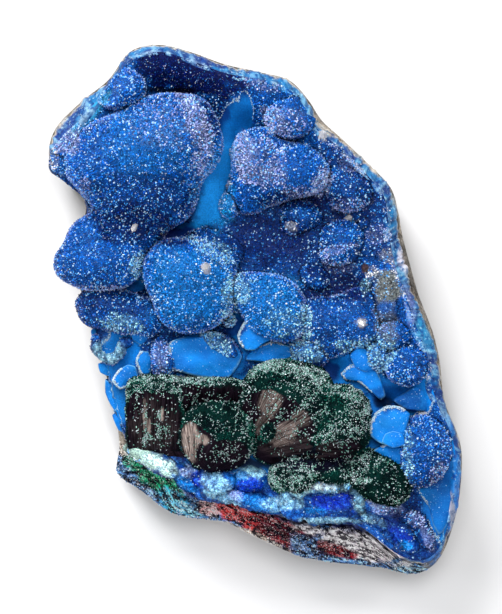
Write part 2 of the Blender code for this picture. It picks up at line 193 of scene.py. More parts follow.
# Bare azure plates: height of the top, how far its middle bulges, height of the foot, then the outline.
PLATES = {
    "pillow": (17.1, 0.5, 12.8, (
        (170, 343), (180, 338), (200, 337), (222, 337), (236, 347), (242, 356), (238, 366), (228, 378),
        (200, 377), (184, 373), (171, 369), (168, 356),
    )),
    "chunk": (18.2, 0.3, 13.5, (
        (238, 335), (244, 323), (254, 317), (261, 326), (271, 339), (263, 344), (255, 350), (246, 350),
        (240, 343),
    )),
    "arch": (16.6, 0.2, 13.5, (
        (246, 360), (249, 353), (259, 346), (274, 342), (290, 347), (295, 355), (284, 360), (266, 362),
    )),
    "left_hollow": (14.9, -0.7, 11.0, (
        (90, 331), (103, 324), (118, 330), (128, 335), (126, 343), (120, 350), (112, 357), (102, 356),
        (94, 348),
    )),
    "left_under": (13.6, 0.3, 10.5, ((97, 364), (110, 364), (123, 366), (118, 374), (108, 377), (99, 373))),
    "left_chunk": (16.2, 0.3, 11.5, (
        (112, 381), (118, 371), (127, 365), (135, 367), (138, 378), (131, 384), (120, 389),
    )),
    "left_edge_high": (13.4, 0.3, 10.0, (
        (104, 380), (112, 386), (121, 390), (127, 400), (125, 414), (117, 416), (109, 405), (104, 393),
    )),
    "left_edge_low": (13.0, 0.3, 10.0, ((111, 416), (125, 413), (129, 424), (126, 435), (117, 431))),
    "stub_azure": (16.2, 0.4, 12.0, ((136, 361), (140, 352), (148, 352), (152, 363), (149, 374), (141, 374))),
    "stub_link": (16.0, 0.3, 12.0, ((131, 331), (144, 327), (148, 338), (141, 345), (132, 340))),
    "ledge_high": (16.9, 0.5, 12.5, (
        (350, 356), (357, 348), (366, 349), (373, 358), (376, 369), (366, 372), (356, 368),
    )),
    "ledge": (16.4, 0.3, 12.5, (
        (342, 374), (350, 366), (361, 364), (376, 370), (382, 382), (386, 396), (381, 401), (372, 392),
        (360, 382), (346, 380),
    )),
    "ridge": (16.8, 0.5, 12.0, (
        (394, 401), (405, 393), (420, 384), (434, 379), (441, 388), (437, 402), (426, 411), (408, 410),
    )),
    "knob": (18.2, 0.5, 12.5, (
        (370, 424), (376, 413), (388, 406), (400, 407), (410, 414), (407, 428), (405, 442), (394, 447),
        (380, 443), (371, 436),
    )),
    "knob_step": (18.9, 0.2, 13.5, ((382, 442), (385, 434), (393, 431), (403, 434), (405, 444), (393, 448))),
    "knob_low": (17.0, 0.3, 12.5, ((374, 451), (388, 444), (401, 446), (408, 455), (406, 468), (392, 466))),
    "slope": (15.6, 0.5, 11.0, (
        (418, 489), (434, 483), (446, 474), (456, 466), (459, 480), (457, 500), (453, 515), (447, 528),
        (440, 536), (434, 526), (430, 508),
    )),
}

# The malachite sprays in a ball's numbers, then the power of their squarish shape.
SPRAYS = {
    "block": (154, 418, 15.0, 29, 43, 7.2, 0, 5.0),
    "bridge": (208, 404, 15.0, 44, 28, 6.2, 0, 3.4),
    "ball": (217, 436, 16.4, 37, 36, 6.8, 0, 2.4),
    "fan": (287, 408, 15.6, 50, 50, 8.8, 0, 2.3),
    "fan_right": (335, 421, 14.8, 37, 36, 7.8, 4, 2.5),
    "fan_foot": (305, 450, 14.6, 52, 19, 5.2, -2, 3.0),
    "tuft": (268, 432, 19.6, 7, 10, 2.0, -15, 2.0),
    "gap_low": (205, 462, 12.8, 60, 9, 4.4, -6, 3.0),
    "right_lobe": (380, 480, 14.6, 34, 27, 5.6, -30, 2.3),
    "right_join": (336, 473, 14.0, 26, 15, 4.4, -6, 2.2),
    "front_lobe": (292, 478, 14.4, 25, 17, 4.8, -8, 2.4),
    "front_join": (306, 468, 13.8, 26, 12, 4.4, -8, 2.4),
}

# Where a spray is broken open: the break's distance from the centre in millimetres, and its normal.
SPRAY_BREAKS = {
    "block": ((3.1, (0.0, -0.62, 0.78)),),
    "bridge": ((1.7, (0.0, -0.72, 0.69)),),
    "ball": ((4.3, (-0.62, -0.52, 0.58)), (4.0, (0.10, -0.84, 0.53))),
    "fan": ((5.1, (-0.36, -0.60, 0.71)),),
    "fan_right": ((5.4, (0.12, -0.90, 0.42)),),
    "fan_foot": ((2.2, (0.0, -0.50, 0.86)),),
    "gap_low": ((0.8, (0.0, -0.6, 0.8)),),
}

# The point that a spray's fibres spread from.
SPRAY_SOURCES = {
    "block": (154, 900),
    "bridge": (212, 700),
    "ball": (193, 486),
    "fan": (236, 460),
    "fan_right": (236, 460),
    "fan_foot": (236, 460),
}

# Where broken fibres show a painted pale sheen: x, y, widths along x and y, turn, strength.
FIBRE_SHEEN = (
    (191, 437, 11, 15, 0, 1.0), (190, 449, 6, 14, 8, 1.0), (200, 438, 9, 6, -20, 0.9),
    (270, 400, 12, 19, -8, 0.5), (262, 425, 6, 14, -20, 0.35), (284, 433, 19, 10, 42, 0.62),
    (300, 418, 12, 9, 36, 0.3), (145, 416, 2, 17, 0, 0.8), (149, 426, 2, 9, 0, 0.8),
    (162, 414, 2, 7, 0, 1.0), (154, 428, 26, 30, 0, 0.06), (300, 448, 40, 12, 0, 0.06),
)

# Where the malachite turns violet-black: x, y, widths along x and y, turn.
VIOLET = ((226, 460, 44, 17, -6), (302, 458, 50, 15, -4), (154, 430, 28, 34, 0))

# Where white quartz is thick on the malachite: x, y, widths along x and y, turn, strength.
DUSTY = (
    (152, 388, 32, 13, 0, 1.0), (172, 378, 16, 6, 0, 1.0), (205, 381, 44, 8, 0, 0.75),
    (205, 392, 40, 12, 0, 0.35), (134, 396, 9, 10, 0, 0.9), (262, 366, 26, 10, 30, 1.0),
    (288, 369, 26, 8, -10, 1.0), (318, 381, 34, 11, -20, 0.9), (356, 410, 17, 32, 0, 1.0),
    (326, 433, 14, 8, 35, 1.0), (292, 476, 28, 18, 0, 1.0), (358, 470, 24, 16, -20, 0.8),
    (376, 462, 22, 12, -30, 0.6), (386, 484, 26, 20, -30, 0.35), (240, 445, 24, 24, 0, 0.3),
    (213, 418, 30, 18, 0, 0.28), (248, 420, 16, 40, 0, 0.3), (300, 400, 40, 26, 0, 0.55),
    (335, 425, 40, 20, 0, 0.5), (158, 436, 26, 22, 0, 0.22), (145, 412, 3, 15, 0, 1.0),
    (161, 414, 3, 9, 0, 1.0), (146, 438, 4, 11, 0, 1.0),
)

# Patches of the floor with no druse: x, y, widths along x and y, turn.
BARE_PATCHES = (
    (84, 113, 30, 11, 41), (246, 112, 7, 22, 6), (229, 128, 13, 32, -22), (215, 172, 17, 34, -18),
    (203, 205, 24, 19, 10), (178, 233, 22, 12, 25), (132, 287, 14, 9, 10), (116, 378, 22, 60, -10),
    (205, 357, 46, 24, 0), (270, 350, 32, 14, 0), (242, 326, 18, 18, 0), (350, 374, 36, 20, -18),
    (400, 398, 42, 22, 12), (386, 432, 24, 32, 0), (447, 498, 26, 62, 8), (272, 428, 100, 52, -6),
)

# Tones laid over the blue: tone, x, y, widths along x and y, turn, strength.
# The navy and black zones are painted shade: hollows, creases, shadows beside and under the balls, and slopes
# that face away from the light. The sky zones are painted light on the tops of balls and in shaded hollows.
ZONES = (
    ("navy", 190, 74, 66, 24, -8, 1.0), ("navy", 214, 120, 14, 26, -20, 0.8),
    ("navy", 132, 224, 42, 20, 0, 0.82), ("navy", 175, 196, 26, 20, -30, 0.45),
    ("sky", 187, 286, 48, 40, 0, 0.42), ("sky", 272, 306, 33, 33, 20, 0.4),
    ("sky", 150, 145, 44, 34, 0, 0.2), ("navy", 346, 196, 34, 32, 0, 0.5),
    ("navy", 440, 505, 22, 44, 8, 0.3), ("navy", 272, 240, 46, 26, 0, 0.62),
    ("navy", 300, 200, 46, 9, 0, 0.8), ("navy", 338, 278, 34, 16, -20, 0.8),
    ("navy", 330, 294, 34, 8, 0, 0.7), ("navy", 352, 158, 34, 18, -35, 0.6),
    ("navy", 380, 215, 22, 46, 10, 0.45), ("navy", 178, 236, 20, 12, 0, 0.9),
    ("navy", 232, 326, 14, 12, 0, 0.8), ("navy", 325, 370, 20, 9, -20, 0.8),
    ("navy", 398, 398, 26, 16, 0, 0.55), ("navy", 340, 512, 40, 8, -12, 0.6),
    ("navy", 118, 300, 50, 18, 0, 0.55), ("navy", 438, 475, 18, 14, 30, 0.45),
    ("blue", 121, 89, 27, 22, 0, 0.85), ("black", 172, 91, 26, 4, 0, 0.9),
    ("black", 384, 403, 9, 6, 0, 0.8), ("lilac", 199, 130, 13, 34, 21, 0.85),
    ("lilac", 205, 160, 11, 17, -25, 0.65), ("lilac", 170, 128, 36, 30, 0, 0.28),
    ("lilac", 67, 140, 15, 20, -20, 0.8), ("turquoise", 84, 112, 34, 13, 41, 0.8),
    ("white", 62, 130, 17, 7, 35, 0.5), ("white", 53, 158, 8, 14, 0, 0.4),
    ("lilac", 86, 188, 7, 14, 0, 0.4), ("lilac", 244, 155, 13, 24, 10, 0.95),
    ("lilac", 264, 160, 24, 22, 0, 0.45), ("lilac", 266, 176, 28, 14, -10, 0.7),
    ("lilac", 322, 182, 11, 17, -30, 0.85), ("lilac", 300, 192, 16, 6, 0, 0.45),
    ("lilac", 273, 120, 10, 17, 30, 0.8), ("lilac", 286, 124, 20, 14, 0, 0.4),
    ("lilac", 262, 84, 18, 10, -20, 0.5), ("white", 292, 227, 7, 5, -20, 0.95),
    ("white", 206, 268, 5, 6, 0, 0.9), ("white", 322, 137, 5, 7, 10, 0.9),
    ("white", 361, 323, 6, 5, 0, 0.9), ("white", 229, 185, 3, 4, 0, 0.9), ("white", 229, 205, 8, 9, 0, 0.6),
    ("white", 349, 218, 3, 3, 0, 0.9), ("white", 391, 413, 8, 3, 0, 0.7),
    ("foam", 110, 353, 20, 15, 0, 0.9), ("sky", 214, 205, 22, 26, -20, 0.9),
    ("sky", 222, 165, 14, 34, -15, 0.55), ("lilac", 375, 235, 11, 12, 0, 0.45),
    ("white", 390, 256, 11, 8, 0, 0.6), ("lilac", 336, 250, 18, 6, 15, 0.7),
    ("lilac", 340, 266, 22, 8, -5, 0.35), ("lilac", 348, 165, 11, 10, 0, 0.35),
    ("lilac", 350, 206, 22, 8, 10, 0.35), ("foam", 236, 290, 15, 17, -40, 0.8),
    ("foam", 215, 252, 28, 10, -25, 0.45), ("foam", 136, 265, 6, 15, -20, 0.7),
    ("lilac", 98, 288, 36, 4, 0, 0.45), ("foam", 122, 323, 22, 9, -10, 0.7),
    ("lilac", 161, 358, 9, 17, 0, 0.75), ("foam", 285, 322, 22, 14, 0, 0.35),
    ("foam", 306, 322, 8, 17, 0, 0.6), ("foam", 305, 353, 18, 14, 0, 0.7),
    ("foam", 380, 354, 16, 20, 0, 0.65), ("foam", 352, 346, 20, 7, 0, 0.6),
    ("foam", 216, 345, 19, 11, -32, 0.75), ("lilac", 438, 472, 10, 11, 0, 0.45),
    ("foam", 406, 440, 6, 26, 5, 0.5), ("foam", 408, 468, 6, 12, 0, 0.6),
    ("grey", 386, 288, 14, 17, 15, 0.95), ("grey", 386, 322, 12, 20, 10, 0.5),
    ("blue", 384, 308, 7, 5, 0, 0.8), ("white", 398, 268, 6, 16, 5, 0.7), ("white", 372, 272, 7, 6, 0, 0.6),
    ("foam", 366, 286, 6, 7, 0, 0.6), ("brown", 365, 268, 4, 5, 0, 0.9), ("black", 240, 466, 44, 9, 0, 0.9),
    ("black", 190, 464, 20, 7, -20, 0.7), ("mint", 146, 458, 30, 10, -22, 1.0),
    ("mint", 168, 469, 14, 10, -35, 0.85), ("navy", 135, 200, 50, 24, -8, 0.45),
    ("navy", 190, 206, 9, 24, -25, 0.6), ("foam", 231, 318, 10, 9, 0, 0.7),
    ("lilac", 188, 473, 12, 6, -10, 0.7), ("royal", 201, 480, 12, 9, -20, 1.0),
    ("azure", 184, 485, 15, 6, -40, 0.8), ("foam", 216, 484, 18, 12, -20, 0.65),
    ("foam", 222, 497, 20, 6, -20, 0.55), ("foam", 252, 473, 18, 8, 0, 0.85),
    ("azure", 238, 478, 10, 10, 0, 0.7), ("royal", 249, 486, 14, 8, 10, 0.9),
    ("navy", 254, 494, 11, 5, 10, 0.8), ("lilac", 235, 496, 10, 5, -20, 0.7),
    ("azure", 262, 504, 24, 9, -15, 0.6), ("foam", 272, 506, 14, 7, -15, 0.5),
    ("foam", 290, 501, 15, 12, 0, 0.8), ("foam", 302, 491, 13, 6, 20, 1.0),
    ("foam", 322, 488, 24, 6, 0, 1.0), ("white", 322, 487, 22, 4, 0, 0.7),
    ("foam", 346, 488, 13, 6, -20, 1.0), ("foam", 360, 504, 7, 14, 10, 1.0),
    ("royal", 321, 503, 14, 9, -18, 1.0), ("royal", 341, 501, 13, 8, 20, 1.0),
    ("azure", 316, 512, 12, 5, -10, 0.8), ("foam", 330, 521, 30, 4, 0, 0.8),
    ("foam", 378, 522, 16, 5, -20, 0.7), ("white", 380, 502, 20, 8, -20, 0.7),
    ("lilac", 386, 508, 20, 10, -20, 0.7), ("navy", 394, 520, 12, 9, -40, 0.8),
    ("navy", 387, 527, 24, 6, -38, 0.65), ("royal", 402, 538, 14, 8, -35, 0.7),
    ("sky", 406, 545, 7, 5, -25, 0.7), ("lilac", 418, 521, 12, 7, -30, 0.6),
    ("lilac", 430, 540, 6, 14, 20, 0.5),
)

# Colours of the rock's broken band and of the pieces of the crust's edge: tone, x, y, widths, turn, strength.
# The navy zones are painted shadow under the crust's low edge.
BAND_ZONES = (
    ("slate", 280, 520, 190, 60, -21, 1.0), ("slate", 134, 484, 30, 26, -45, 1.0),
    ("cream", 118, 444, 7, 16, 20, 1.0), ("mint", 142, 459, 19, 9, -30, 1.0),
    ("foam", 143, 469, 12, 5, -30, 0.8), ("mint", 160, 463, 12, 5, -15, 0.9),
    ("green", 126, 463, 6, 6, 0, 0.8), ("green", 156, 481, 32, 14, -42, 1.0),
    ("green", 176, 497, 14, 7, -42, 0.8), ("mint", 171, 472, 9, 8, -45, 0.9),
    ("turquoise", 176, 505, 26, 11, -28, 0.95), ("foam", 180, 508, 18, 6, -28, 0.8),
    ("navy", 193, 495, 12, 6, -25, 0.95), ("slate", 194, 506, 9, 6, -30, 0.8),
    ("pink", 211, 510, 14, 8, -35, 1.0), ("dark_red", 270, 530, 62, 18, -24, 1.0),
    ("red", 234, 515, 27, 12, -28, 1.0), ("black", 290, 538, 40, 8, -24, 0.5),
    ("pink", 208, 508, 9, 9, -35, 0.8), ("cream", 262, 543, 34, 4, -24, 0.8),
    ("cream", 232, 529, 14, 3, -18, 0.8), ("slate", 304, 548, 15, 12, -20, 0.95),
    ("pink_white", 304, 520, 22, 13, -38, 1.0), ("pink_white", 366, 547, 58, 17, -14, 1.0),
    ("dark_red", 337, 553, 25, 7, -20, 1.0), ("navy", 355, 528, 30, 8, -8, 0.95),
    ("slate", 350, 566, 56, 4, -9, 0.9), ("foam", 412, 572, 20, 5, 8, 0.8),
    ("azure", 420, 556, 9, 14, 0, 0.8), ("cream", 448, 548, 6, 16, -30, 0.9),
    ("white", 366, 545, 50, 12, -14, 0.6),
)

# Colours of the rock's sides and of the crust's broken edge along the rim, in the same numbers.
RIM_ZONES = (
    ("cream", 325, 121, 11, 14, 40, 0.95), ("cream", 60, 176, 14, 10, -35, 0.9),
    ("cream", 92, 84, 14, 5, 45, 0.8), ("pink_white", 404, 262, 6, 14, 8, 0.6),
    ("lilac", 407, 305, 8, 22, 14, 0.7), ("turquoise", 428, 335, 12, 22, 20, 0.5),
    ("azure", 452, 482, 12, 62, 6, 0.9), ("cream", 456, 524, 5, 40, 14, 0.6),
    ("azure", 436, 560, 20, 13, -35, 0.9), ("foam", 442, 415, 8, 16, 12, 0.8),
    ("foam", 396, 205, 5, 12, 10, 0.7),
)

PALE_TONES = ("lilac", "foam", "white")

TONES = {
    "black": (0.0, 0.001, 0.01),
    "navy": (0.001, 0.011, 0.145),
    "blue": (0.006, 0.14, 0.64),
    "royal": (0.002, 0.03, 0.56),
    "azure": (0.002, 0.19, 0.64),
    "sky": (0.01, 0.36, 1.0),
    "turquoise": (0.035, 0.33, 0.59),
    "foam": (0.35, 0.71, 0.92),
    "lilac": (0.4, 0.46, 0.85),
    "white": (0.8, 0.8, 0.88),
    "grey": (0.3, 0.32, 0.33),
    "cream": (0.52, 0.45, 0.37),
    "mint": (0.64, 0.9, 0.84),
    "green": (0.01, 0.3, 0.14),
    "slate": (0.06, 0.16, 0.36),
    "red": (0.64, 0.04, 0.04),
    "dark_red": (0.16, 0.006, 0.011),
    "pink": (0.78, 0.42, 0.43),
    "pink_white": (0.93, 0.82, 0.86),
    "brown": (0.12, 0.06, 0.04),
    "stone": (0.33, 0.305, 0.27),
    "cleft": (0.003, 0.002, 0.01),
    "quartz": (0.98, 0.94, 0.96),
    "glint": (0.07, 0.43, 1.0),
    "glint_blue": (0.26, 0.62, 1.0),
    "glint_white": (0.68, 0.84, 1.0),
    "knob_gap_shade": (0.001, 0.014, 0.14),
    "knob_blue": (0.1, 0.4, 0.95),
    "knob_pale": (0.72, 0.93, 1.0),
    "plate_border": (0.2, 0.58, 0.9),
    "frost": (0.15, 0.35, 0.75),
    "edge_blue": (0.007, 0.17, 0.43),
    "edge_navy": (0.001, 0.045, 0.25),
    "edge_dark": (0.001, 0.04, 0.16),
    "edge_pale": (0.5, 0.72, 0.85),
    "needle_dark": (0.001, 0.012, 0.012),
    "needle": (0.004, 0.07, 0.052),
    "needle_violet": (0.004, 0.003, 0.014),
    "dust_dark": (0.02, 0.13, 0.14),
    "dust": (0.84, 0.95, 1.0),
    "dust_green": (0.16, 0.6, 0.42),
}

# Plates with a border of frosty crystals: the degrees anticlockwise from the right where it starts and ends,
# and how crowded it is.
FRINGES = {
    "left_chunk": (120, 290, 1.0),
    "stub_azure": (100, 260, 1.2),
    "chunk": (75, 230, 1.1),
    "arch": (30, 165, 0.5),
    "pillow": (150, 215, 0.8),
    "ledge": (120, 300, 0.5),
    "knob": (45, 200, 0.9),
    "knob_low": (60, 150, 0.5),
    "slope": (90, 200, 0.4),
}

CRYSTAL_SPACING = 0.268  # between the druse's crystals
CRYSTAL_WIDTH = (0.06, 0.16)
CRYSTAL_HEIGHT = (0.10, 0.30)
NEEDLE_SPACING = 0.35
SPARKLE_SPACING = 0.175
FRINGE_SPACING = 0.16
KNOB = 0.62  # between the small knobs of the low edge
SOFTNESS = 1.0  # how softly the balls of one mass run together
CREASE = 0.16  # how softly the masses meet
QUARTZ_IOR = 1.54
BAND_BEARINGS = (222, 310)  # where the broken band starts and ends, in degrees
CLUSTER = 0.42  # size of the clusters in which the druse glitters alike
SHOULDER = 0.35  # share of a crystal's height at which it is widest
ROOTED = 0.9  # how deep it is rooted, in its own heights
HIDDEN_DEPTH = 1.6  # a point deeper inside the balls than this is out of sight
STEEPEST = 25  # exponents are held to this either way
ROUNDS = 3  # of moving points onto the balls' common surface

# How fine the meshes are, and how many crystals there are.
CURVE_POINTS = 12  # of a smooth curve, from each corner to the next
HALF_WIDTH, HALF_LENGTH = 32, 41  # of the box that holds the crust
FLOOR_ROWS, FLOOR_COLUMNS = 106, 600
SPRAY_ROWS, SPRAY_COLUMNS = 54, 96
EDGE_COLUMNS = 1300
ROCK_COLUMNS = 1000
CROWDED = 2.2  # how many more of them there are along the broken band
BAND_STARTS, BAND_ENDS = (3.8, 3.95), (5.38, 5.5)  # bearings in radians over which they crowd and thin out
BEARING_STEPS = 7200  # of the table that crowds them
PLATE_COLUMNS = 90
LIP_ROWS = 34  # rings of the rock's mesh across its lip
SIDE_ROWS = 30  # rings of it down its broken sides
GRAINS = 40000  # tried on the band
FROST = 9000  # crystals tried along the rim
MOST_CRYSTALS = 22500  # in one piece

# The camera and the lights. A light is its name, its place and its size in metres, and its power in watts.
CAMERA_HEIGHT = 600.0
PICTURE_MM = 92.1
PICTURE_CENTRE = (-0.45, 0.45)
SUBJECT_HEIGHT = 18.0
SENSOR = 24.0
STAGE_REACH = 900
LIT_PLACE = (0.0, 0.0, 0.015)
SOFTBOXES = (
    ("key", (-0.22, 0.44, 0.44), 0.30, 5.2),
    ("high", (0.02, 0.14, 0.66), 0.24, 2.2),
    ("right", (0.44, 0.22, 0.30), 0.20, 0.8),
    ("left", (-0.50, 0.04, 0.30), 0.20, 0.8),
    ("front", (0.06, -0.46, 0.48), 0.20, 1.9),
)

random = np.random.default_rng(7)


# ---------------------------------------------------------------- numbers


def ease(low, high, value):
    """0 below low, 1 above high, and a smooth cubic step between."""
    share = np.clip((value - low) / (high - low), 0.0, 1.0)
    return share * share * (3 - 2 * share)


def unit(vectors):
    """Vectors brought to a length of 1."""
    return vectors / np.maximum(np.linalg.norm(vectors, axis=-1, keepdims=True), 1e-9)


def stacked(*columns):
    """Rows of numbers. A column is an array, or one number for all rows."""
    return np.stack(np.broadcast_arrays(*columns), axis=-1)


def polar(radius, bearing, height):
    """Points at a distance and a bearing from the upright axis."""
    return stacked(radius * np.cos(bearing), radius * np.sin(bearing), height)


def around(columns):
    """Even bearings all the way round."""
    return np.linspace(0, FULL_TURN, columns, endpoint=False)


def bearing_of(points):
    """Angle round the upright axis, in radians."""
    return np.arctan2(points[..., 1], points[..., 0])


def distance_of(points):
    """Distance from the upright axis."""
    return np.hypot(points[..., 0], points[..., 1])


def cell_numbers(cells, seed):
    """A fixed number from 0 to 1 for each whole-numbered cell.

    It is the cell's place times large primes, with the bits mixed.
    """
    cells = cells.astype(np.int64)
    bits = cells[..., 0] * 73856093 ^ cells[..., 1] * 19349663 ^ cells[..., 2] * 83492791
    bits = (bits ^ (seed + 1) * 40503) & 0xFFFFFFFF
    for _ in range(2):
        bits = ((bits ^ (bits >> 16)) * 0x45D9F3B) & 0xFFFFFFFF
    return (bits ^ (bits >> 16)) / 0xFFFFFFFF


def noise(points, size, seed=0):
    """Smooth noise from -1 to 1: the numbers of a point's eight cell corners, blended with a cubic ease."""
    points = points / size
    cells = np.floor(points)
    blend = ease(0, 1, points - cells)
    total = 0.0
    for corner in np.ndindex(2, 2, 2):
        weight = np.prod(np.where(corner, blend, 1 - blend), axis=-1)
        total = total + weight * cell_numbers(cells + corner, seed)
    return 2 * total - 1


def fractal(points, size, octaves=3, seed=0):
    """Noise added to finer noise of half its size and half its strength, and so on."""
    return sum(noise(points, size / 2**i, seed + 17 * i) / 2**i for i in range(octaves))


def nearest_seed(points, size, seed=0):
    """Distance, in cells, to the nearest of the seeds that lie one to a cell, each shifted at random."""
    points = points / size
    cells = np.floor(points)
    nearest = np.full(points.shape[:-1], 9.0)
    for step in np.ndindex(3, 3, 3):
        cell = cells + step - 1
        place = stacked(*(cell_numbers(cell, seed + k) for k in range(3)))
        nearest = np.minimum(nearest, ((cell + place - points) ** 2).sum(-1))
    return np.sqrt(nearest)


def turned(points, degrees):
    """Points turned about the upright axis."""
    c, s = math.cos(math.radians(degrees)), math.sin(math.radians(degrees))
    x, y = points[..., 0], points[..., 1]
    return stacked(c * x - s * y, s * x + c * y, points[..., 2])


def from_grid(x, y):
    """A place on the working grid, in millimetres."""
    return GRID_CORNER[0] + SQUARE * x, GRID_CORNER[1] - SQUARE * y


def placed(table):
    """Balls in millimetres. One without a turn gets 0, and one without a power gets an ellipsoid's, 2."""
    return [
        (*from_grid(x, y), z, rx * SQUARE, ry * SQUARE, rz, *rest, *(0, 2.0)[len(rest) :])
        for x, y, z, rx, ry, rz, *rest in table
    ]


def knob_row(height, radius, upright, path):
    """Balls crowded along a path, each a little off its line and more or less large."""
    path = np.array(path, float)
    length = np.concatenate([[0], np.cumsum(np.hypot(*np.diff(path, axis=0).T))])
    stops = np.arange(0, length[-1], 0.6 * radius)
    places = np.array([np.interp(stops, length, column) for column in path.T])
    places = places + random.normal(0, 0.25 * radius, places.shape)
    sizes = random.uniform(0.7, 1.25, len(stops))
    rows = zip(*places, sizes)
    return [(x, y, height, radius * size, radius * size, upright * size) for x, y, size in rows]


for title, row in KNOB_ROWS.items():
    DRUSE.update({f"{title}_{number}": (ball,) for number, ball in enumerate(knob_row(*row))})
DRUSE = {title: tuple(placed(balls)) for title, balls in DRUSE.items()}
DRUSE_BALLS = [numbers for balls in DRUSE.values() for numbers in balls]
SPRAYS = dict(zip(SPRAYS, placed(SPRAYS.values())))


# ---------------------------------------------------------------- the outline and the floor


def smooth_curve(table):
    """The closed Catmull-Rom curve through a table's rows, with CURVE_POINTS points to each row."""
    before, after, beyond = (np.roll(table, shift, axis=0) for shift in (1, -1, -2))
    share = np.linspace(0, 1, CURVE_POINTS, endpoint=False)[:, None, None]
    curve = 0.5 * (
        2 * table
        + (after - before) * share
        + (2 * before - 5 * table + 4 * after - beyond) * share**2
        + (3 * table - before - 3 * after + beyond) * share**3
    )
    return curve.reshape(-1, table.shape[1])


def smooth_outline():
    """The outline's curve, sorted by direction from the middle."""
    curve = smooth_curve(np.array(OUTLINE))
    bearing = bearing_of(curve) % FULL_TURN
    order = np.argsort(bearing)
    return bearing[order], np.column_stack([distance_of(curve) - SKIN, curve[:, 2:]])[order]


BEARINGS, EDGE = smooth_outline()
LENGTH_ALONG = np.cumsum(np.hypot(*np.diff(EDGE[:, 0] * (np.cos(BEARINGS), np.sin(BEARINGS)), prepend=0)))


def edge_at(bearing):
    """At a bearing: the outline's reach, the rock's lip, the rim's height and the edge's width."""
    return [np.interp(bearing, BEARINGS, column, period=FULL_TURN) for column in EDGE.T]


def level_at(points):
    """Height of the floor with its swells and hollows, each a bell curve over its middle."""
    level = np.full(points.shape[:-1], FLOOR)
    for x, y, radius, height in SWELLS:
        apart = points[..., :2] - from_grid(x, y)
        level = level + height * np.exp(-(apart**2).sum(-1) / (radius * SQUARE) ** 2)
    return level


def zone_share(points, zone, wander):
    """From 1 inside an ellipse to 0 outside, with an edge that wanders."""
    x, y, rx, ry, turn = zone
    local = turned(points - (*from_grid(x, y), 0), -turn) / (rx * SQUARE, ry * SQUARE, 1)
    return 1 - ease(0.75, 1.12, distance_of(local) + wander)


def strongest(points, zones, wander):
    """The most that any zone has at points. A zone's sixth number is its strength, or else that is 1."""
    return np.max([(*zone, 1.0)[5] * zone_share(points, zone[:5], wander) for zone in zones], axis=0)


def bare_share(points):
    """How bare of druse the floor is at points, from 0 to 1."""
    flat = points * (1, 1, 0)
    return strongest(flat, BARE_PATCHES, 0.16 * fractal(flat, 2.0, 3, 31))


def floor_formula(flat):
    """Height of the crust's floor: a level with swells, which runs up or down to the crest of the rim.

    It is rough where druse grows on it, and lies half a millimetre lower where it is bare.
    """
    reach, lip, rim, width = edge_at(bearing_of(flat))
    share = distance_of(flat) / (reach - lip - width)
    level = level_at(flat)
    rough = 0.26 * fractal(flat, 4.0, 3, 5) - 0.22 * nearest_seed(flat, 2.2, 9)
    smooth = 0.25 * fractal(flat, 6.0, 2, 15) - 0.45
    height = level + (rim - level) * ease(RIM_STARTS, 1.0, share)
    return height + (rough + (smooth - rough) * bare_share(flat)) * (1 - 0.6 * ease(0.9, 1.0, share))


STEP = 0.2  # of the floor's table
FLOOR_X = np.arange(-HALF_WIDTH - 2, HALF_WIDTH + 2, STEP)
FLOOR_Y = np.arange(-HALF_LENGTH - 2, HALF_LENGTH + 2, STEP)
FLOOR_TABLE = floor_formula(stacked(*np.meshgrid(FLOOR_X, FLOOR_Y), 0))


def floor_at(points):
    """The floor's height read from its table, each value a blend of the table's four nearest."""
    column = np.clip((points[..., 0] - FLOOR_X[0]) / STEP, 0, len(FLOOR_X) - 1.001)
    row = np.clip((points[..., 1] - FLOOR_Y[0]) / STEP, 0, len(FLOOR_Y) - 1.001)
    i, j = column.astype(int), row.astype(int)
    a, b = column - i, row - j
    low = FLOOR_TABLE[j, i] * (1 - a) + FLOOR_TABLE[j, i + 1] * a
    high = FLOOR_TABLE[j + 1, i] * (1 - a) + FLOOR_TABLE[j + 1, i + 1] * a
    return low * (1 - b) + high * b


def floor_normal(points):
    """The floor's upward normal, from how it rises over a step to either side."""
    slopes = [floor_at(points + step) - floor_at(points - step) for step in STEP * np.eye(3)[:2]]
    return unit(stacked(-slopes[0], -slopes[1], 2 * STEP))


# ---------------------------------------------------------------- balls that run together


def on_ball(numbers, toward):
    """Points of a ball and their outward normals. A power over 2 makes it squarer than an ellipsoid."""
    radii, turn, power = np.array(numbers[3:6]), *numbers[6:]
    local = toward / (np.abs(toward) ** power).sum(-1, keepdims=True) ** (1 / power)
    normal = np.sign(local) * np.abs(local) ** (power - 1) / radii
    return turned(local * radii, turn) + numbers[:3], unit(turned(normal, turn))


def in_radii(numbers, points):
    """Points as seen from a ball's centre, in its own directions and counted in its radii."""
    return turned(points - numbers[:3], -numbers[6]) / numbers[3:6]


def exposed(points, balls, margin=0.97):
    """Which points lie outside all of some balls."""
    free = np.ones(len(points), bool)
    for numbers in balls:
        free &= (np.abs(in_radii(numbers, points)) ** numbers[7]).sum(-1) ** (1 / numbers[7]) > margin
    return free


def field_of(numbers, points):
    """Nearly the distance from an ellipsoid's surface, less than 0 inside, and the direction away from it."""
    local = in_radii(numbers, points)
    scaled = np.linalg.norm(local, axis=-1)
    steep = local / numbers[3:6]
    size = np.maximum(np.linalg.norm(steep, axis=-1), 1e-6)
    return scaled * (scaled - 1) / size, turned(steep / size[..., None], numbers[6])


def mass_field(points, balls):
    """The depth inside one mass and the direction out of it.

    With d the distance from each ball, the mass's surface is where the sum of exp(-d / softness) is 1.
    """
    total = np.full(len(points), 1e-12)
    direction = np.zeros_like(points)
    for numbers in balls:
        distance, away = field_of(numbers, points)
        weight = np.exp(np.clip(-distance / SOFTNESS, -STEEPEST, STEEPEST))
        total += weight
        direction += weight[:, None] * away
    return SOFTNESS * np.log(total), direction / total[:, None]


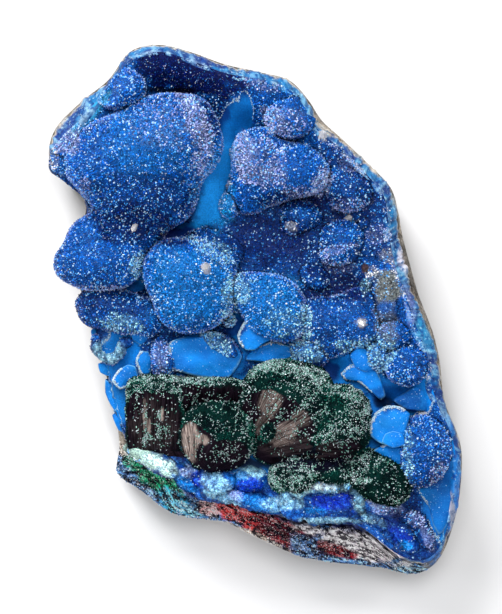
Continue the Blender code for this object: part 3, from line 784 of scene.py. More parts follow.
def run_together(points, masses):
    """Moves points out onto the surface that the masses and the floor make together.

    Also gives its normals, which points are far inside and so hidden, and how deep in a crease each point
    lies. The masses join in the way that the balls of one mass do, but in narrow creases.
    """
    for round_number in range(ROUNDS):
        direction = floor_normal(points)
        distance = (points[:, 2] - floor_at(points)) * direction[:, 2]
        total = np.exp(np.clip(-distance / CREASE, -STEEPEST, STEEPEST))
        most = total.copy()
        normal = total[:, None] * direction
        for balls in masses.values():
            near = np.zeros(len(points), bool)
            for numbers in balls:
                near |= np.abs(points - numbers[:3]).max(-1) < max(numbers[3:6]) + 2.5 * SOFTNESS
            if near.any():
                depth, direction = mass_field(points[near], balls)
                weight = np.exp(np.clip(depth / CREASE, -STEEPEST, STEEPEST))
                total[near] += weight
                most[near] = np.maximum(most[near], weight)
                normal[near] += weight[:, None] * direction
        normal = normal / np.maximum(total, 1e-9)[:, None]
        depth = CREASE * np.log(np.maximum(total, 1e-9))
        if round_number == 0:
            hidden = depth > HIDDEN_DEPTH
        step = np.clip(depth / np.maximum((normal**2).sum(-1), 0.2), -0.4, 0.8)
        points = points + normal * np.where(hidden, 0, step)[:, None]
    return points, unit(normal), hidden, ease(0.02, 0.40, 1 - most / total)


def held_in(points):
    """Points drawn in under the rim.

    None lies beyond the crest of a wide edge or stands over it. Next to a narrow edge they may overhang,
    but not low down, where they would hang over the rock.
    """
    radius, z = distance_of(points), points[..., 2]
    reach, lip, rim, width = edge_at(bearing_of(points))
    crest = reach - lip - 0.95 * width + 3.5 * (1 - ease(0.8, 1.0, width)) * ease(rim - 3.2, rim - 1.6, z)
    over = np.maximum(radius - crest + 0.4, 0.0)
    inward = radius - np.where(over > 0.8, radius - crest, over**2 / 1.6)
    slope = 4.0 - 2.7 * ease(0.8, 1.1, width)
    ceiling = rim - 0.25 + slope * np.maximum(crest - inward, 0.0)
    over = np.maximum(z - ceiling + 0.5, 0.0)
    height = z - np.where(over > 1.0, z - ceiling, over**2 / 2.0)
    share = inward / np.maximum(radius, 1e-6)
    return stacked(points[..., 0] * share, points[..., 1] * share, height)


def knobbly_share(points):
    """How much of the crust's small knobs there is at points, from 0 to 1."""
    return strongest(points, KNOBBLY, 0.2 * fractal(points, 2.0, 2, 66))


def lumps(points):
    """The druse's own relief: low round swells, small knobs in some places, and a fine roughness."""
    knobs = (0.16 - 0.34 * nearest_seed(points, KNOB, 57)) * knobbly_share(points)
    return 0.06 - 0.22 * nearest_seed(points, 1.8, 3) + 0.20 * fractal(points, 4.0, 3, 4) + knobs


def druse_surface(numbers, toward):
    """A druse ball's surface, run together with its neighbours and the floor, as run_together gives it."""
    points, _ = on_ball(numbers, toward)
    neighbours = {
        title: balls
        for title, balls in DRUSE.items()
        if min(math.dist(other[:3], numbers[:3]) - max(other[3:6]) for other in balls) < max(numbers[3:6]) + 2
    }
    moved, normals, hidden, crease = run_together(points.reshape(-1, 3), neighbours)
    moved = held_in(moved + normals * lumps(moved)[:, None])
    shape = points.shape
    moved, normals = moved.reshape(shape), normals.reshape(shape)
    return moved, normals, hidden.reshape(shape[:-1]), crease.reshape(shape[:-1])


def plate_outline(title):
    """A plate's middle, and its outline's bearings and distances from there."""
    corners = stacked(*from_grid(*np.array(PLATES[title][3], float).T))
    share = np.linspace(0, 1, CURVE_POINTS, endpoint=False)[:, None, None]
    straight = corners + (np.roll(corners, -1, axis=0) - corners) * share
    curve = 0.6 * straight.reshape(-1, 2) + 0.4 * smooth_curve(corners)
    centre = curve.mean(0)
    bearing = bearing_of(curve - centre) % FULL_TURN
    order = np.argsort(bearing)
    return centre, bearing[order], distance_of(curve - centre)[order]


def plate_at(title, bearing, share):
    """Points of a plate: its outline drawn in towards its middle, at the height of the top, edge or foot.

    A share of 0 is the middle of its top, 1 the edge, 2 the foot and 3 the middle beneath. The top is a
    level with a parabola's bulge, soft swells and a rounded edge.
    """
    top, bulge, foot, _ = PLATES[title]
    centre, *outline = plate_outline(title)
    out = np.where(share < 2, np.minimum(share, 1 + 0.06 * (share - 1)), 3 - share)
    points = polar(out * np.interp(bearing, *outline, period=FULL_TURN), bearing, top) + (*centre, 0)
    swell = 0.25 * fractal(points, 3.0, 2, 8) + 0.08 * fractal(points, 0.8, 2, 12)
    edge = np.clip((share - 0.9) / 0.1, 0, 1)
    height = top + bulge * (1 - np.minimum(share, 1) ** 2) + swell - 0.22 * edge**2
    points[..., 2] = height + (foot - height) * np.clip(share - 1, 0, 1)
    return held_in(points)


def clear_of_plates(points):
    """Which points don't lie inside a plate."""
    free = np.ones(len(points), bool)
    for title, (top, _, _, _) in PLATES.items():
        centre, *outline = plate_outline(title)
        away = points[:, :2] - centre
        reach = np.interp(bearing_of(away), *outline, period=FULL_TURN)
        free &= (distance_of(away) > reach) | (points[:, 2] > top + 0.4)
    return free


def spray_surface(title, toward):
    """A spray's surface: a squarish ball cut by planes where it is broken, knobbly with bundles of needles.

    Returns the points, the outward normals, how broken each point is, and the fibres' own coordinates: the
    way round the point they spread from, and the distance to it.
    """
    numbers = SPRAYS[title]
    points, normals = on_ball(numbers, toward)
    centre = np.array(numbers[:3])
    knobs = 0.10 - 0.42 * nearest_seed(points, 1.3, 63) + 0.20 * fractal(points, 3.5, 3, 64)
    broken = np.zeros(points.shape[:-1])
    for distance, normal in SPRAY_BREAKS.get(title, ()):
        normal = unit(np.array(normal))
        out = (points - centre) @ normal
        limit = distance + 0.30 * fractal(points, 2.4, 3, 61)
        shrink = np.where(out > limit, limit / np.maximum(out, 1e-6), 1.0)
        points = centre + (points - centre) * shrink[..., None]
        cut = ease(1.0, 1.03, 1 / shrink)
        broken = np.maximum(broken, cut)
        normals = unit(normals + (normal - normals) * cut[..., None])
    source = from_grid(*SPRAY_SOURCES[title]) if title in SPRAY_SOURCES else (centre[0], centre[1] - 8)
    apart = points[..., :2] - source
    reach = distance_of(apart)
    bearing = np.arctan2(apart[..., 0], apart[..., 1]) * math.dist(centre[:2], source)
    ribs = fractal(stacked(bearing / 0.45, reach / 6, 0), 1.0, 2, 62)
    push = knobs * (1 - broken) + (0.20 * ribs - 0.05) * broken
    return points + normals * push[..., None], normals, broken, stacked(bearing, reach) / 10


# ---------------------------------------------------------------- colours


def tone_of(tone):
    """A colour, given as it is or by its name."""
    return np.asarray(TONES[tone] if isinstance(tone, str) else tone)


def mixed(colour, *layers):
    """A colour with tones laid over it in turn. A layer is a tone and its share, from 0 to 1."""
    colour = tone_of(colour)
    for tone, share in layers:
        colour = colour + (tone_of(tone) - colour) * np.asarray(share)[..., None]
    return colour


def between(low, high, count, bend=1.0):
    """Random numbers or colours between two, nearer the low one with a bend over 1."""
    share = random.random(count) ** bend
    if isinstance(low, float):
        return low + (high - low) * share
    return mixed(low, (high, share))


def paled(colour):
    """Much paler colours of the same hues."""
    return np.clip(2.4 * colour + 0.24, 0, 1)


def tinted(points, colour, zones, ragged=0.30, size=1.4, scatter=None, pale=0.4):
    """Colours with each zone's tone laid over them in turn, a pale tone at less than its strength.

    With a random number to each point as scatter, a pale tone is taken whole by a share of the points,
    which makes a frosting of separate crystals of it.
    """
    wander = ragged * fractal(points, size, 3, 61)
    for tone, *zone, strength in zones:
        share = strength * zone_share(points, zone, wander)
        if tone in PALE_TONES:
            share = pale * share if scatter is None else 0.9 * (share > scatter)
        colour = mixed(colour, (tone, share))
    return colour


def zones_of(*tones):
    """The crust's zones that have one of some tones."""
    return [zone for zone in ZONES if zone[0] in tones]


def violet_share(points):
    """How violet-black the malachite is at points, from 0 to 1."""
    return strongest(points, VIOLET, 0.2 * fractal(points, 2.0, 2, 83))


def blue_of(points, scatter=None):
    """The druse's blue: lighter on the balls' tops than between them, a painted shade that darkens the
    hollows, with soft clouds and a fine mottle.
    """
    above = points[:, 2] - level_at(points)
    shade = np.clip(0.40 + 0.60 * ease(-0.5, 4.5, above) + 0.20 * fractal(points, 5.0, 3, 51), 0.0, 1.0)
    colour = mixed("navy", ("blue", shade)) * (1.35 - 0.75 * nearest_seed(points, 0.75, 55))[:, None]
    knobbly = knobbly_share(points)
    if scatter is not None:
        scatter = scatter + (0.40 - scatter) * 0.8 * knobbly
    colour = tinted(points, colour, ZONES, scatter=scatter, pale=0.4 + 0.4 * knobbly)
    # On the small knobs: painted light on their tops, which turn paler, and painted shade in the dark gaps
    # between them.
    knob = nearest_seed(points, KNOB, 57)
    light = ease(0.10, 0.70, colour[:, 1])
    top = (0.25 + 0.50 * light) * knobbly * ease(0.50, 0.15, knob)
    gap = 0.65 * knobbly * ease(0.50, 0.72, knob)
    return mixed(colour, (mixed("knob_blue", ("knob_pale", light)), top), ("knob_gap_shade", gap))


def glittering(points, colour):
    """A colour for each crystal, and how bright it is made.

    They brighten and darken in small clusters, some to pale or white: painted glints, and painted shade on
    the dark clusters.
    """
    count = len(colour)
    cluster = cell_numbers(np.floor(points / CLUSTER), 101)
    light = ease(0.05, 0.34, colour[:, 2])
    knobbly = knobbly_share(points)
    vary = 0.16 + 1.15 * cluster**1.5 + 0.85 * random.random(count) ** 2
    colour = colour * (vary + (1.05 - vary) * 0.6 * knobbly)[:, None]
    draw = random.random(count) + 0.20 * (cluster - 0.5) + 0.10 * fractal(points, 2.4, 3, 103)
    pale = (0.85 - 0.45 * knobbly) * light * (draw > 0.78)
    white = 0.95 * (draw > 1.04 - 0.12 * light)
    whites = between("glint_blue", "glint_white", count) * (0.55 + 0.45 * light)[:, None]
    return np.clip(mixed(colour, ("glint", pale), (whites, white)), 0, 1), np.maximum(0.5 * pale, white)


# ---------------------------------------------------------------- meshes


def make_mesh(name, points, faces, material, attributes=None, smooth=True, uv=None):
    """A mesh object from points in millimetres and faces as rows of indices.

    Its attributes are numbers at each point, or colours if there are three to a point.
    """
    mesh = bpy.data.meshes.new(name)
    mesh.from_pydata((points * MM).tolist(), [], faces)
    for title, values in (attributes or {}).items():
        if values.ndim == 1:
            layer = mesh.attributes.new(title, "FLOAT", "POINT")
            layer.data.foreach_set("value", np.ascontiguousarray(values, np.float32))
        else:
            layer = mesh.attributes.new(title, "FLOAT_COLOR", "POINT")
            values = np.column_stack([values, np.ones(len(values))])
            layer.data.foreach_set("color", values.astype(np.float32).ravel())
    if uv is not None:
        corner = np.empty(len(mesh.loops), np.int32)
        mesh.loops.foreach_get("vertex_index", corner)
        layer = mesh.uv_layers.new(name="UVMap")
        layer.data.foreach_set("uv", uv[corner].astype(np.float32).ravel())
    if smooth:
        mesh.shade_smooth()
    mesh.materials.append(material)
    obj = bpy.data.objects.new(name, mesh)
    bpy.context.scene.collection.objects.link(obj)
    return obj


def shell_faces(rows, columns, start):
    """Faces of a closed shell of rings, each anticlockwise, from a top pole down to a bottom pole."""
    here = np.arange(columns)
    ahead = (here + 1) % columns
    row = (start + 1 + np.arange(rows) * columns)[:, None]
    quads = stacked(row[:-1] + here, row[1:] + here, row[1:] + ahead, row[:-1] + ahead)
    top = stacked(start, row[0] + here, row[0] + ahead)
    under = stacked(row[-1] + here, row[-1] + columns, row[-1] + ahead)
    return quads.reshape(-1, 4).tolist() + top.tolist() + under.tolist()


def joined_shells(shells):
    """Closed shells as one table and its faces. Each is a grid of rings, the end ones shrunk to a point.

    The table's rows begin with a point's three coordinates. What follows them in the grids is carried along.
    """
    blocks, faces = [], []
    for rings in shells:
        rows, columns, numbers = rings.shape
        faces += shell_faces(rows - 2, columns, sum(map(len, blocks)))
        blocks.append(np.vstack([rings[0].mean(0), rings[1:-1].reshape(-1, numbers), rings[-1].mean(0)]))
    return np.concatenate(blocks), faces


def tube_faces(rows, columns):
    """Faces of a closed tube that runs round the specimen: rows round its section, columns along it."""
    row = (np.arange(rows) * columns)[:, None]
    below = np.roll(row, -1, axis=0)
    here = np.arange(columns)
    ahead = np.roll(here, -1)
    return stacked(row + here, below + here, below + ahead, row + ahead).reshape(-1, 4).tolist()


def directions(rows, columns):
    """Rings of unit vectors from straight up to straight down, closer together near the top."""
    drop, bearing = np.meshgrid(math.pi * np.linspace(0, 1, rows) ** 1.25, around(columns), indexing="ij")
    return polar(np.sin(drop), bearing, np.cos(drop))


# ---------------------------------------------------------------- crystals


def even_directions(count):
    """Unit vectors spread evenly over a sphere on a golden-angle spiral."""
    step = np.arange(count) + 0.5
    up = 1 - 2 * step / count
    return polar(np.sqrt(1 - up**2), step * math.pi * (3 - math.sqrt(5)), up)


def spread_directions(numbers, spacing):
    """Unit vectors whose points on a ball lie about one spacing apart.

    Even directions are thinned where the ball is less stretched: a patch of it is as large as the patch of
    the sphere times the product of the radii over the distance from the centre to its tangent plane.
    """
    radii, power = np.array(numbers[3:6]), numbers[7]
    most = 1.1 * radii.max() ** 2
    toward = even_directions(int(4 * math.pi * most / (0.87 * spacing**2)))
    toward = unit(toward + random.normal(0, 0.20 * spacing / radii.max(), toward.shape))
    bulge = (np.abs(toward) ** power).sum(-1) ** (1 / power)
    area = np.prod(radii) * np.linalg.norm(toward / radii, axis=-1) / most / bulge**2
    return toward[random.random(len(toward)) < area]


def crystals_mesh(name, roots, axes, width, height, sides, material, colours, lean=0.3):
    """Joined pointed crystals. Each is a ring of corners where it is widest, a tip above and a root below."""
    count = len(roots)
    axes = unit(axes + random.normal(0, lean, (count, 3)))
    helper = np.where(np.abs(axes[:, 2:]) > 0.8, (1.0, 0.0, 0.0), (0.0, 0.0, 1.0))
    across = unit(np.cross(axes, helper))
    along = np.cross(axes, across)
    corner = np.arange(sides) / sides * FULL_TURN + random.random((count, 1)) * FULL_TURN
    corner = corner + random.normal(0, 0.10, corner.shape)
    ring_width = width[:, None] * random.uniform(0.85, 1.12, corner.shape)
    ring = across[:, None] * (np.cos(corner) * ring_width)[..., None]
    ring = ring + along[:, None] * (np.sin(corner) * ring_width)[..., None]
    off_centre = random.normal(0, 0.22, (count, 2)) * width[:, None]
    shoulder = roots + axes * (SHOULDER * height)[:, None]
    tip = roots + axes * height[:, None] + across * off_centre[:, :1] + along * off_centre[:, 1:]
    root = roots - axes * (ROOTED * height)[:, None]
    points = np.concatenate([shoulder[:, None] + ring, tip[:, None], root[:, None]], axis=1)
    here = np.arange(sides)
    ahead = (here + 1) % sides
    pattern = np.concatenate([stacked(here, ahead, sides), stacked(ahead, here, sides + 1)])
    faces = (np.arange(count) * (sides + 2))[:, None, None] + pattern
    repeated = {"colour": np.repeat(colours, sides + 2, axis=0)}
    faces = faces.reshape(-1, 3).tolist()
    return make_mesh(name, points.reshape(-1, 3), faces, material, repeated, smooth=False)


def joined(found):
    """Sets of arrays joined into one set."""
    return [np.concatenate(column) for column in zip(*found)]


def picked(mask, *columns):
    """Each column's rows where the mask holds."""
    return [column[mask] for column in columns]


# ---------------------------------------------------------------- materials


class Value:
    """A number that varies over a surface. Arithmetic on it adds Math nodes."""

    def __init__(self, paint, socket):
        self.paint = paint
        self.socket = socket

    def math(self, operation, *operands):
        return self.paint.node("Math", {"operation": operation}, dict(enumerate(operands)))

    def __add__(self, other):
        return self.math("ADD", self, other)

    def __sub__(self, other):
        return self.math("SUBTRACT", self, other)

    def __rsub__(self, other):
        return self.math("SUBTRACT", other, self)

    def __mul__(self, other):
        return self.math("MULTIPLY", self, other)

    __radd__ = __add__
    __rmul__ = __mul__


class Paint:
    """A material with one Principled shader, and the nodes that feed it."""

    def __init__(self, name, roughness, specular=0.5, clear=0.0):
        self.material = bpy.data.materials.new(name)
        self.material.use_nodes = True
        self.tree = self.material.node_tree
        self.shader = self.tree.nodes["Principled BSDF"]
        self.set("Roughness", roughness)
        self.set("Specular IOR Level", specular)
        if clear:
            self.set("Transmission Weight", clear)
            self.set("IOR", QUARTZ_IOR)

    def node(self, kind, settings=None, inputs=None, output=0):
        """Any node by its type: its settings first, then its sockets' values or links."""
        node = self.tree.nodes.new("ShaderNode" + kind)
        for title, value in (settings or {}).items():
            if title == "stops":
                self.set_stops(node.color_ramp, value)
            else:
                setattr(node, title, value)
        for title, value in (inputs or {}).items():
            self.give(node.inputs[title], value)
        return Value(self, node.outputs[output])

    def set_stops(self, ramp, stops):
        while len(ramp.elements) < len(stops):
            ramp.elements.new(0.5)
        for element, (position, colour) in zip(ramp.elements, stops):
            element.position = position
            element.color = (*colour, 1.0)

    def give(self, socket, value):
        if isinstance(value, Value):
            self.tree.links.new(value.socket, socket)
        elif socket.type == "RGBA":
            socket.default_value = (*value, 1.0)
        else:
            socket.default_value = value

    def set(self, title, value):
        self.give(self.shader.inputs[title], value)

    def mix(self, share, low, high, blend="MIX"):
        return self.node("Mix", {"data_type": "RGBA", "blend_type": blend}, {0: share, 6: low, 7: high}, 2)

    def attribute(self, title, output=2):
        return self.node("Attribute", {"attribute_name": title}, output=output)

    def own_colour(self):
        return self.attribute("colour", 0)

    def noise(self, size, detail=3.0, roughness=0.55):
        """Noise from 0 to 1 whose features are about the given size in millimetres."""
        place = self.node("TexCoord", output=3)
        inputs = {"Vector": place, "Scale": 1 / (size * MM), "Detail": detail, "Roughness": roughness}
        return self.node("TexNoise", inputs=inputs)

    def lines(self, scale, detail, roughness):
        """Noise from 0 to 1 that runs along the mesh's own two coordinates."""
        place = self.node("Mapping", inputs={"Vector": self.node("UVMap"), "Scale": (*scale, 1.0)})
        inputs = {"Vector": place, "Scale": 1.0, "Detail": detail, "Roughness": roughness}
        return self.node("TexNoise", inputs=inputs)

    def between(self, value, low, high):
        """0 below low and 1 above high."""
        return self.node("MapRange", {"interpolation_type": "SMOOTHSTEP"}, {0: value, 1: low, 2: high})

    def ramp(self, value, *stops):
        """A colour by a value, from stops that are each a position and a colour."""
        return self.node("ValToRGB", {"stops": stops}, {0: value})

    def painted(self, tone, height=None, depth=0.0):
        """The material with its colour, and with a bump of some depth in millimetres."""
        self.set("Base Color", tone)
        if height:
            self.set("Normal", self.node("Bump", inputs={"Distance": depth * MM, "Height": height}))
        return self.material


def druse_paint():
    """Quartz over blue: small glassy crystals that take the colour under them."""
    paint = Paint("quartz_druse", 0.12, 0.35, clear=0.15)
    return paint.painted(paint.own_colour())


def under_druse_paint():
    """The shattuckite between the crystals' feet, and its bare azure skin."""
    paint = Paint("blue_under_druse", 0.6, 0.12)
    grain = paint.between(paint.noise(0.24, 2.0, 0.6), 0.35, 0.65)
    grain = paint.mix(grain, (0.35, 0.40, 0.50), (1.5, 1.6, 1.4))
    tone = paint.mix(1.0 - paint.attribute("bare") * 0.75, paint.own_colour(), grain, "MULTIPLY")
    return paint.painted(tone, paint.noise(0.28, 4.0, 0.6), 0.10)


def azure_paint():
    """Bare shattuckite: a soft azure skin with paler and deeper clouds and a fine grain."""
    paint = Paint("azure_skin", 0.6, 0.12)
    clouds = paint.between(paint.noise(3.0, 4.0, 0.55), 0.30, 0.72)
    tone = paint.mix(clouds, (0.75, 0.70, 0.80), (1.0, 1.05, 1.0))
    tone = paint.mix(1.0, paint.own_colour(), tone, "MULTIPLY")
    grain = paint.between(paint.noise(0.20, 2.0), 0.50, 0.80)
    tone = paint.mix(grain * 0.25, tone, (0.05, 0.42, 0.90))
    specks = paint.between(paint.noise(0.26, 1.0), 0.70, 0.74)
    tone = paint.mix(specks * 0.6, tone, (0.45, 0.75, 0.95))
    return paint.painted(tone, paint.noise(0.25, 4.0, 0.65) + paint.noise(1.2, 3.0) * 2.0, 0.10)


def edge_paint():
    """The crust's broken edge: its own colours with pale and deep blotches and a grain."""
    paint = Paint("broken_crust", 0.55, 0.2)
    deep = paint.between(paint.noise(0.9, 4.0, 0.65), 0.55, 0.35)
    tone = paint.mix(deep * 0.95, paint.own_colour(), (0.10, 0.26, 0.50), "MULTIPLY")
    pale = paint.between(paint.noise(0.5, 3.0, 0.6), 0.56, 0.68)
    tone = paint.mix(pale * 0.40, tone, (0.50, 0.80, 0.90))
    return paint.painted(tone, paint.noise(0.3, 4.0, 0.65), 0.20)


def rock_paint():
    """The rock: its own colours, with dark and pale streaks along the band and a coarse mottle elsewhere."""
    paint = Paint("host_rock", 0.7, 0.06)
    white = (1.0, 1.0, 1.0)
    band = paint.attribute("band")
    lines = paint.lines((60.0, 330.0), 4.0, 0.65)
    # The dark streaks lie in the grooves of the bump: partly the band's own dark streaks, partly painted
    # shade in the grooves.
    dark = paint.between(lines, 0.50, 0.38) * band
    tone = paint.mix(dark * 0.85, paint.own_colour(), (0.12, 0.10, 0.18), "MULTIPLY")
    grains = paint.between(paint.noise(0.20, 2.0, 0.5), 0.60, 0.66) * band
    tone = paint.mix(grains * 0.3, tone, (0.85, 0.80, 0.84))
    mottle = paint.noise(2.2, 5.0, 0.6)
    mottle = paint.ramp(mottle, (0.30, (0.35, 0.33, 0.32)), (0.55, white), (0.75, (1.7, 1.7, 1.75)))
    tone = paint.mix(0.9 - band * 0.6, tone, mottle, "MULTIPLY")
    fine = paint.noise(0.32, 4.0, 0.7)
    fine = paint.ramp(fine, (0.36, (0.40, 0.38, 0.37)), (0.50, white), (0.66, (1.6, 1.57, 1.52)))
    tone = paint.mix(1.0 - band, tone, fine, "MULTIPLY")
    return paint.painted(tone, paint.noise(0.5, 6.0, 0.65) + lines * band, 0.35)


def malachite_paint():
    """Malachite: green-black velvet on the tips, dark brown fibres where a spray is broken, pinkish where a
    painted sheen lies on them.
    """
    paint = Paint("malachite_velvet", 0.8, 0.03)
    broken = paint.attribute("broken")
    clouds = paint.between(paint.noise(2.8, 3.0), 0.40, 0.65)
    velvet = paint.mix(clouds, (0.0006, 0.0040, 0.0055), (0.0012, 0.020, 0.017))
    velvet = paint.mix(paint.attribute("violet"), velvet, (0.0035, 0.0030, 0.0120))
    lines = paint.lines((42.0, 2.52), 5.0, 0.7)
    fibre = paint.between(lines, 0.36, 0.66)
    dark = paint.mix(fibre, (0.002, 0.001, 0.003), (0.018, 0.010, 0.019))
    pale = paint.mix(fibre, (0.045, 0.026, 0.028), (0.620, 0.500, 0.450))
    # The pale attribute lays the painted sheen over the fibres.
    fibres = paint.mix(paint.attribute("pale"), dark, pale)
    tone = paint.mix(broken, velvet, fibres)
    return paint.painted(tone, paint.noise(0.35, 3.0, 0.6) + lines * broken, 0.25)


def needle_paint():
    """The tips of malachite needles, each its own green."""
    paint = Paint("malachite_needles", 0.5, 0.04)
    return paint.painted(paint.own_colour())


def sparkle_paint():
    """Small milky quartz crystals and white grains."""
    paint = Paint("white_quartz", 0.15, clear=0.15)
    return paint.painted(paint.own_colour())


def clear_quartz_paint():
    """The larger quartz crystals: clear, a little milky."""
    paint = Paint("clear_quartz", 0.06, clear=0.6)
    return paint.painted(paint.mix(paint.noise(0.6, 3.0), (0.70, 0.68, 0.72), (0.98, 0.97, 0.98)))


def floor_paint():
    """A plain pale grey."""
    return Paint("pale_floor", 0.8).painted((0.72, 0.72, 0.73))


# ---------------------------------------------------------------- pieces


def crust_floor(material):
    """The crust between its balls, a closed shell: rings out to the rim's crest, then back underneath."""
    bearing = around(FLOOR_COLUMNS)
    reach, lip, _, width = edge_at(bearing)
    share = np.linspace(0.0, 1.0, FLOOR_ROWS)[:, None]
    top = polar(share * (reach - lip - width * 0.9), bearing, 0)
    top[..., 2] = floor_at(top)
    flat = top.reshape(-1, 3)
    softened, _, hidden, _ = run_together(flat, DRUSE)
    inside = ((share > 0) & (share <= 0.985)).repeat(FLOOR_COLUMNS)
    softened = flat + (softened - flat) * ((1 - bare_share(flat)) * ~hidden * inside)[:, None]
    under = top[::-10] - (0, 0, CRUST - 0.1)
    points, faces = joined_shells([np.concatenate([softened.reshape(top.shape), under])])
    bare = bare_share(points)
    # Painted shade: under the crystals the floor is dimmed between their feet, but not in the knobbly zone.
    colour = blue_of(points) * (0.42 + 0.58 * knobbly_share(points))[:, None]
    azure = tone_of("azure") * (0.85 + 0.3 * noise(points, 3.0, 2))[:, None]
    # The navy and black zones paint shade on the bare floor, and the sky zones paint light into its shaded
    # channel.
    azure = tinted(points, azure, zones_of("navy", "black", "sky", "turquoise"))
    values = {"colour": mixed(colour, (azure, bare)), "bare": bare}
    return make_mesh("crust_floor", points, faces, material, values)


def crust_edge(material):
    """The crust's broken edge, a closed tube: its section carried round the outline, roughened by noise."""
    inward, depth = np.array(EDGE_SECTION).T[..., None]
    bearing = around(EDGE_COLUMNS)
    reach, lip, rim, width = edge_at(bearing)
    rings = polar(reach - lip - inward * width, bearing, rim - depth)
    grooves = fractal(stacked(bearing * 30, 0, 0), 0.5, 2, 24)
    low = ease(2.0, 3.0, lip) * (np.sin(bearing) < -0.3)
    rough = 0.22 * fractal(rings, 1.6, 3, 21) - 0.20 * nearest_seed(rings, 0.9, 22) + 0.12 * grooves
    rough = rough + low * (0.5 * fractal(rings, 1.1, 2, 27) - 0.5 * nearest_seed(rings, 1.3, 28) + 0.1)
    weight = ease(0.0, 2.0, np.arange(len(rings)))[:, None]
    rings = rings + polar(1.0, bearing, 0.5) * (np.minimum(rough - 0.05, 0.25) * weight)[..., None]
    points = rings.reshape(-1, 3)
    row = np.arange(len(rings)).repeat(EDGE_COLUMNS)
    fine = np.tile(grooves, len(rings)) + 0.8 * fractal(points, 1.2, 3, 23)
    hairline = ease(2.0, 4.0, row) * (1 - ease(5.0, 6.5, row)) * ease(-0.3, 0.3, fractal(points, 1.8, 2, 29))
    # Paler on the ribs and darker in the grooves that also push the edge in and out: partly the edge's own
    # stripes, partly painted light and shade of the grooves.
    colour = mixed(
        "edge_blue",
        ("edge_navy", ease(-0.3, 0.4, fractal(points, 2.6, 3, 25))),
        ("foam", 0.40 * ease(0.30, 1.1, fine)),
        ("edge_dark", 0.7 * ease(0.30, 1.1, -fine)),
        ("edge_pale", 0.45 * hairline),
        ("cream", ease(10.5, 12.5, row + 1.5 * fractal(points, 1.5, 2, 26))),
    )
    colour = mixed(tinted(points, colour, RIM_ZONES), ("stone", ease(13.5, 15, row)))
    speckled = np.clip(0.7 + 0.9 * fractal(points, 0.7, 2, 30), 0.1, 1.6)[:, None]
    banded = tinted(points, "navy", BAND_ZONES) * speckled
    colour = mixed(colour, (banded, np.tile(low, len(rings))))
    return make_mesh("crust_edge", points, tube_faces(len(rings), EDGE_COLUMNS), material, {"colour": colour})


def streaks_at(along, across, seed):
    """Long thin noise that runs with the outline."""
    return fractal(stacked(along / 2.0, across / 0.42, 0), 1.0, 3, seed)


def pale_streaks(along, across):
    """The streaks in which the broken band is pale."""
    return streaks_at(1.5 * along, 1.4 * across, 50)


def lip_surface(bearing, share):
    """Points of the rock's lip, and how far along and across it they lie.

    A share of 0 is at the crust and 1 at the outline. The lip drops towards the outline by a power of the
    share, and a wide lip first swells up a little beside the crust.
    """
    reach, lip, rim, _ = edge_at(bearing)
    inner = rim - CRUST - GAP
    outer = inner * (0.92 - 0.020 * np.minimum(lip, 6))
    height = inner + (outer - inner) * share**1.15
    height = height + ease(2.0, 3.5, lip) * 1.6 * ease(0.0, 0.12, share) * (1 - share) ** 1.3
    points = polar(reach - lip * (1 - share), bearing, height)
    return points, np.interp(bearing, BEARINGS, LENGTH_ALONG), share * lip + 0.35 * noise(points, 3.0, 40)


def lip_relief(points, along, across):
    """Relief of the lip's broken band: ridges from streaks of noise, less the clefts between long cells."""
    cracked = nearest_seed(stacked(along / 2.2, across / 0.8, 0), 1.0, 45)
    return 0.40 * streaks_at(along, across, 41) + 0.25 * fractal(points, 1.2, 3, 46) - 0.55 * cracked + 0.15


def band_zones(points):
    """The broken band's own colours, laid over slate."""
    return tinted(points, "slate", BAND_ZONES, 0.35, 1.8)


def band_colours(points, along, across):
    """The band's zones, broken into pale streaks and black clefts that run with the outline, with painted
    light and shade.
    """
    ridges, clefts = streaks_at(along, across, 41), streaks_at(1.6 * along, 1.7 * across, 44)
    # Painted shade of the relief: lighter on the ridges that raise the band, darker between them.
    colour = band_zones(points) * np.clip(0.80 + 0.9 * ridges, 0.2, 1.7)[:, None]
    pale = 0.75 * ease(0.15, 0.6, pale_streaks(along, across)) * ease(0.04, 0.25, colour.max(-1))
    pits = np.maximum(ease(0.12, 0.34, clefts), ease(0.11, 0.32, fractal(points, 0.55, 2, 52)))
    # Painted light: made 1.6 times as bright for a band that faces away from the lamps. The black clefts are
    # partly painted shadow.
    return mixed(1.6 * mixed(colour, (paled(colour), pale)), ("cleft", 0.97 * pits))


def crowded_bearings(columns):
    """Bearings all the way round, about three times as close together along the broken band."""
    even = around(BEARING_STEPS)
    crowd = 1 + CROWDED * ease(*BAND_STARTS, even) * (1 - ease(*BAND_ENDS, even))
    total = np.cumsum(crowd) - crowd[0]
    return np.interp(np.arange(columns) * total[-1] / columns, total, even)


def rock_rings(bearing):
    """The rock as rings from the middle of its top, over the lip, down the broken side and under the back.

    Each row is a point, then how far along and across the lip it lies.
    """
    reach, lip, rim, _ = edge_at(bearing)
    rings = []
    for share in (0.0, 0.5, 0.8, 0.95):
        level = level_at(polar(share * (reach - lip), bearing, 0))
        height = level + (rim - level) * ease(RIM_STARTS, 1.0, share) - CRUST - GAP
        rings.append((polar(share * (reach - lip), bearing, height), 0, 0))
    rings += [lip_surface(bearing, share) for share in np.linspace(0, 1, LIP_ROWS)]
    edge, along, _ = rings[-1]
    for share in np.linspace(0.04, 1, SIDE_ROWS):
        inset = FOOT_INSET * ease(0.55, 1.0, share) ** 1.4 + 0.25 * math.sin(math.pi * share)
        rings.append((polar(reach - inset, bearing, edge[:, 2] * (1 - share)), along, lip + 5 * share))
    for share in (0.97, 0.6, 0.0):
        rings.append((polar(share * (reach - FOOT_INSET), bearing, 0), along, lip + 6))
    return np.array([stacked(*points.T, *place) for points, *place in rings])


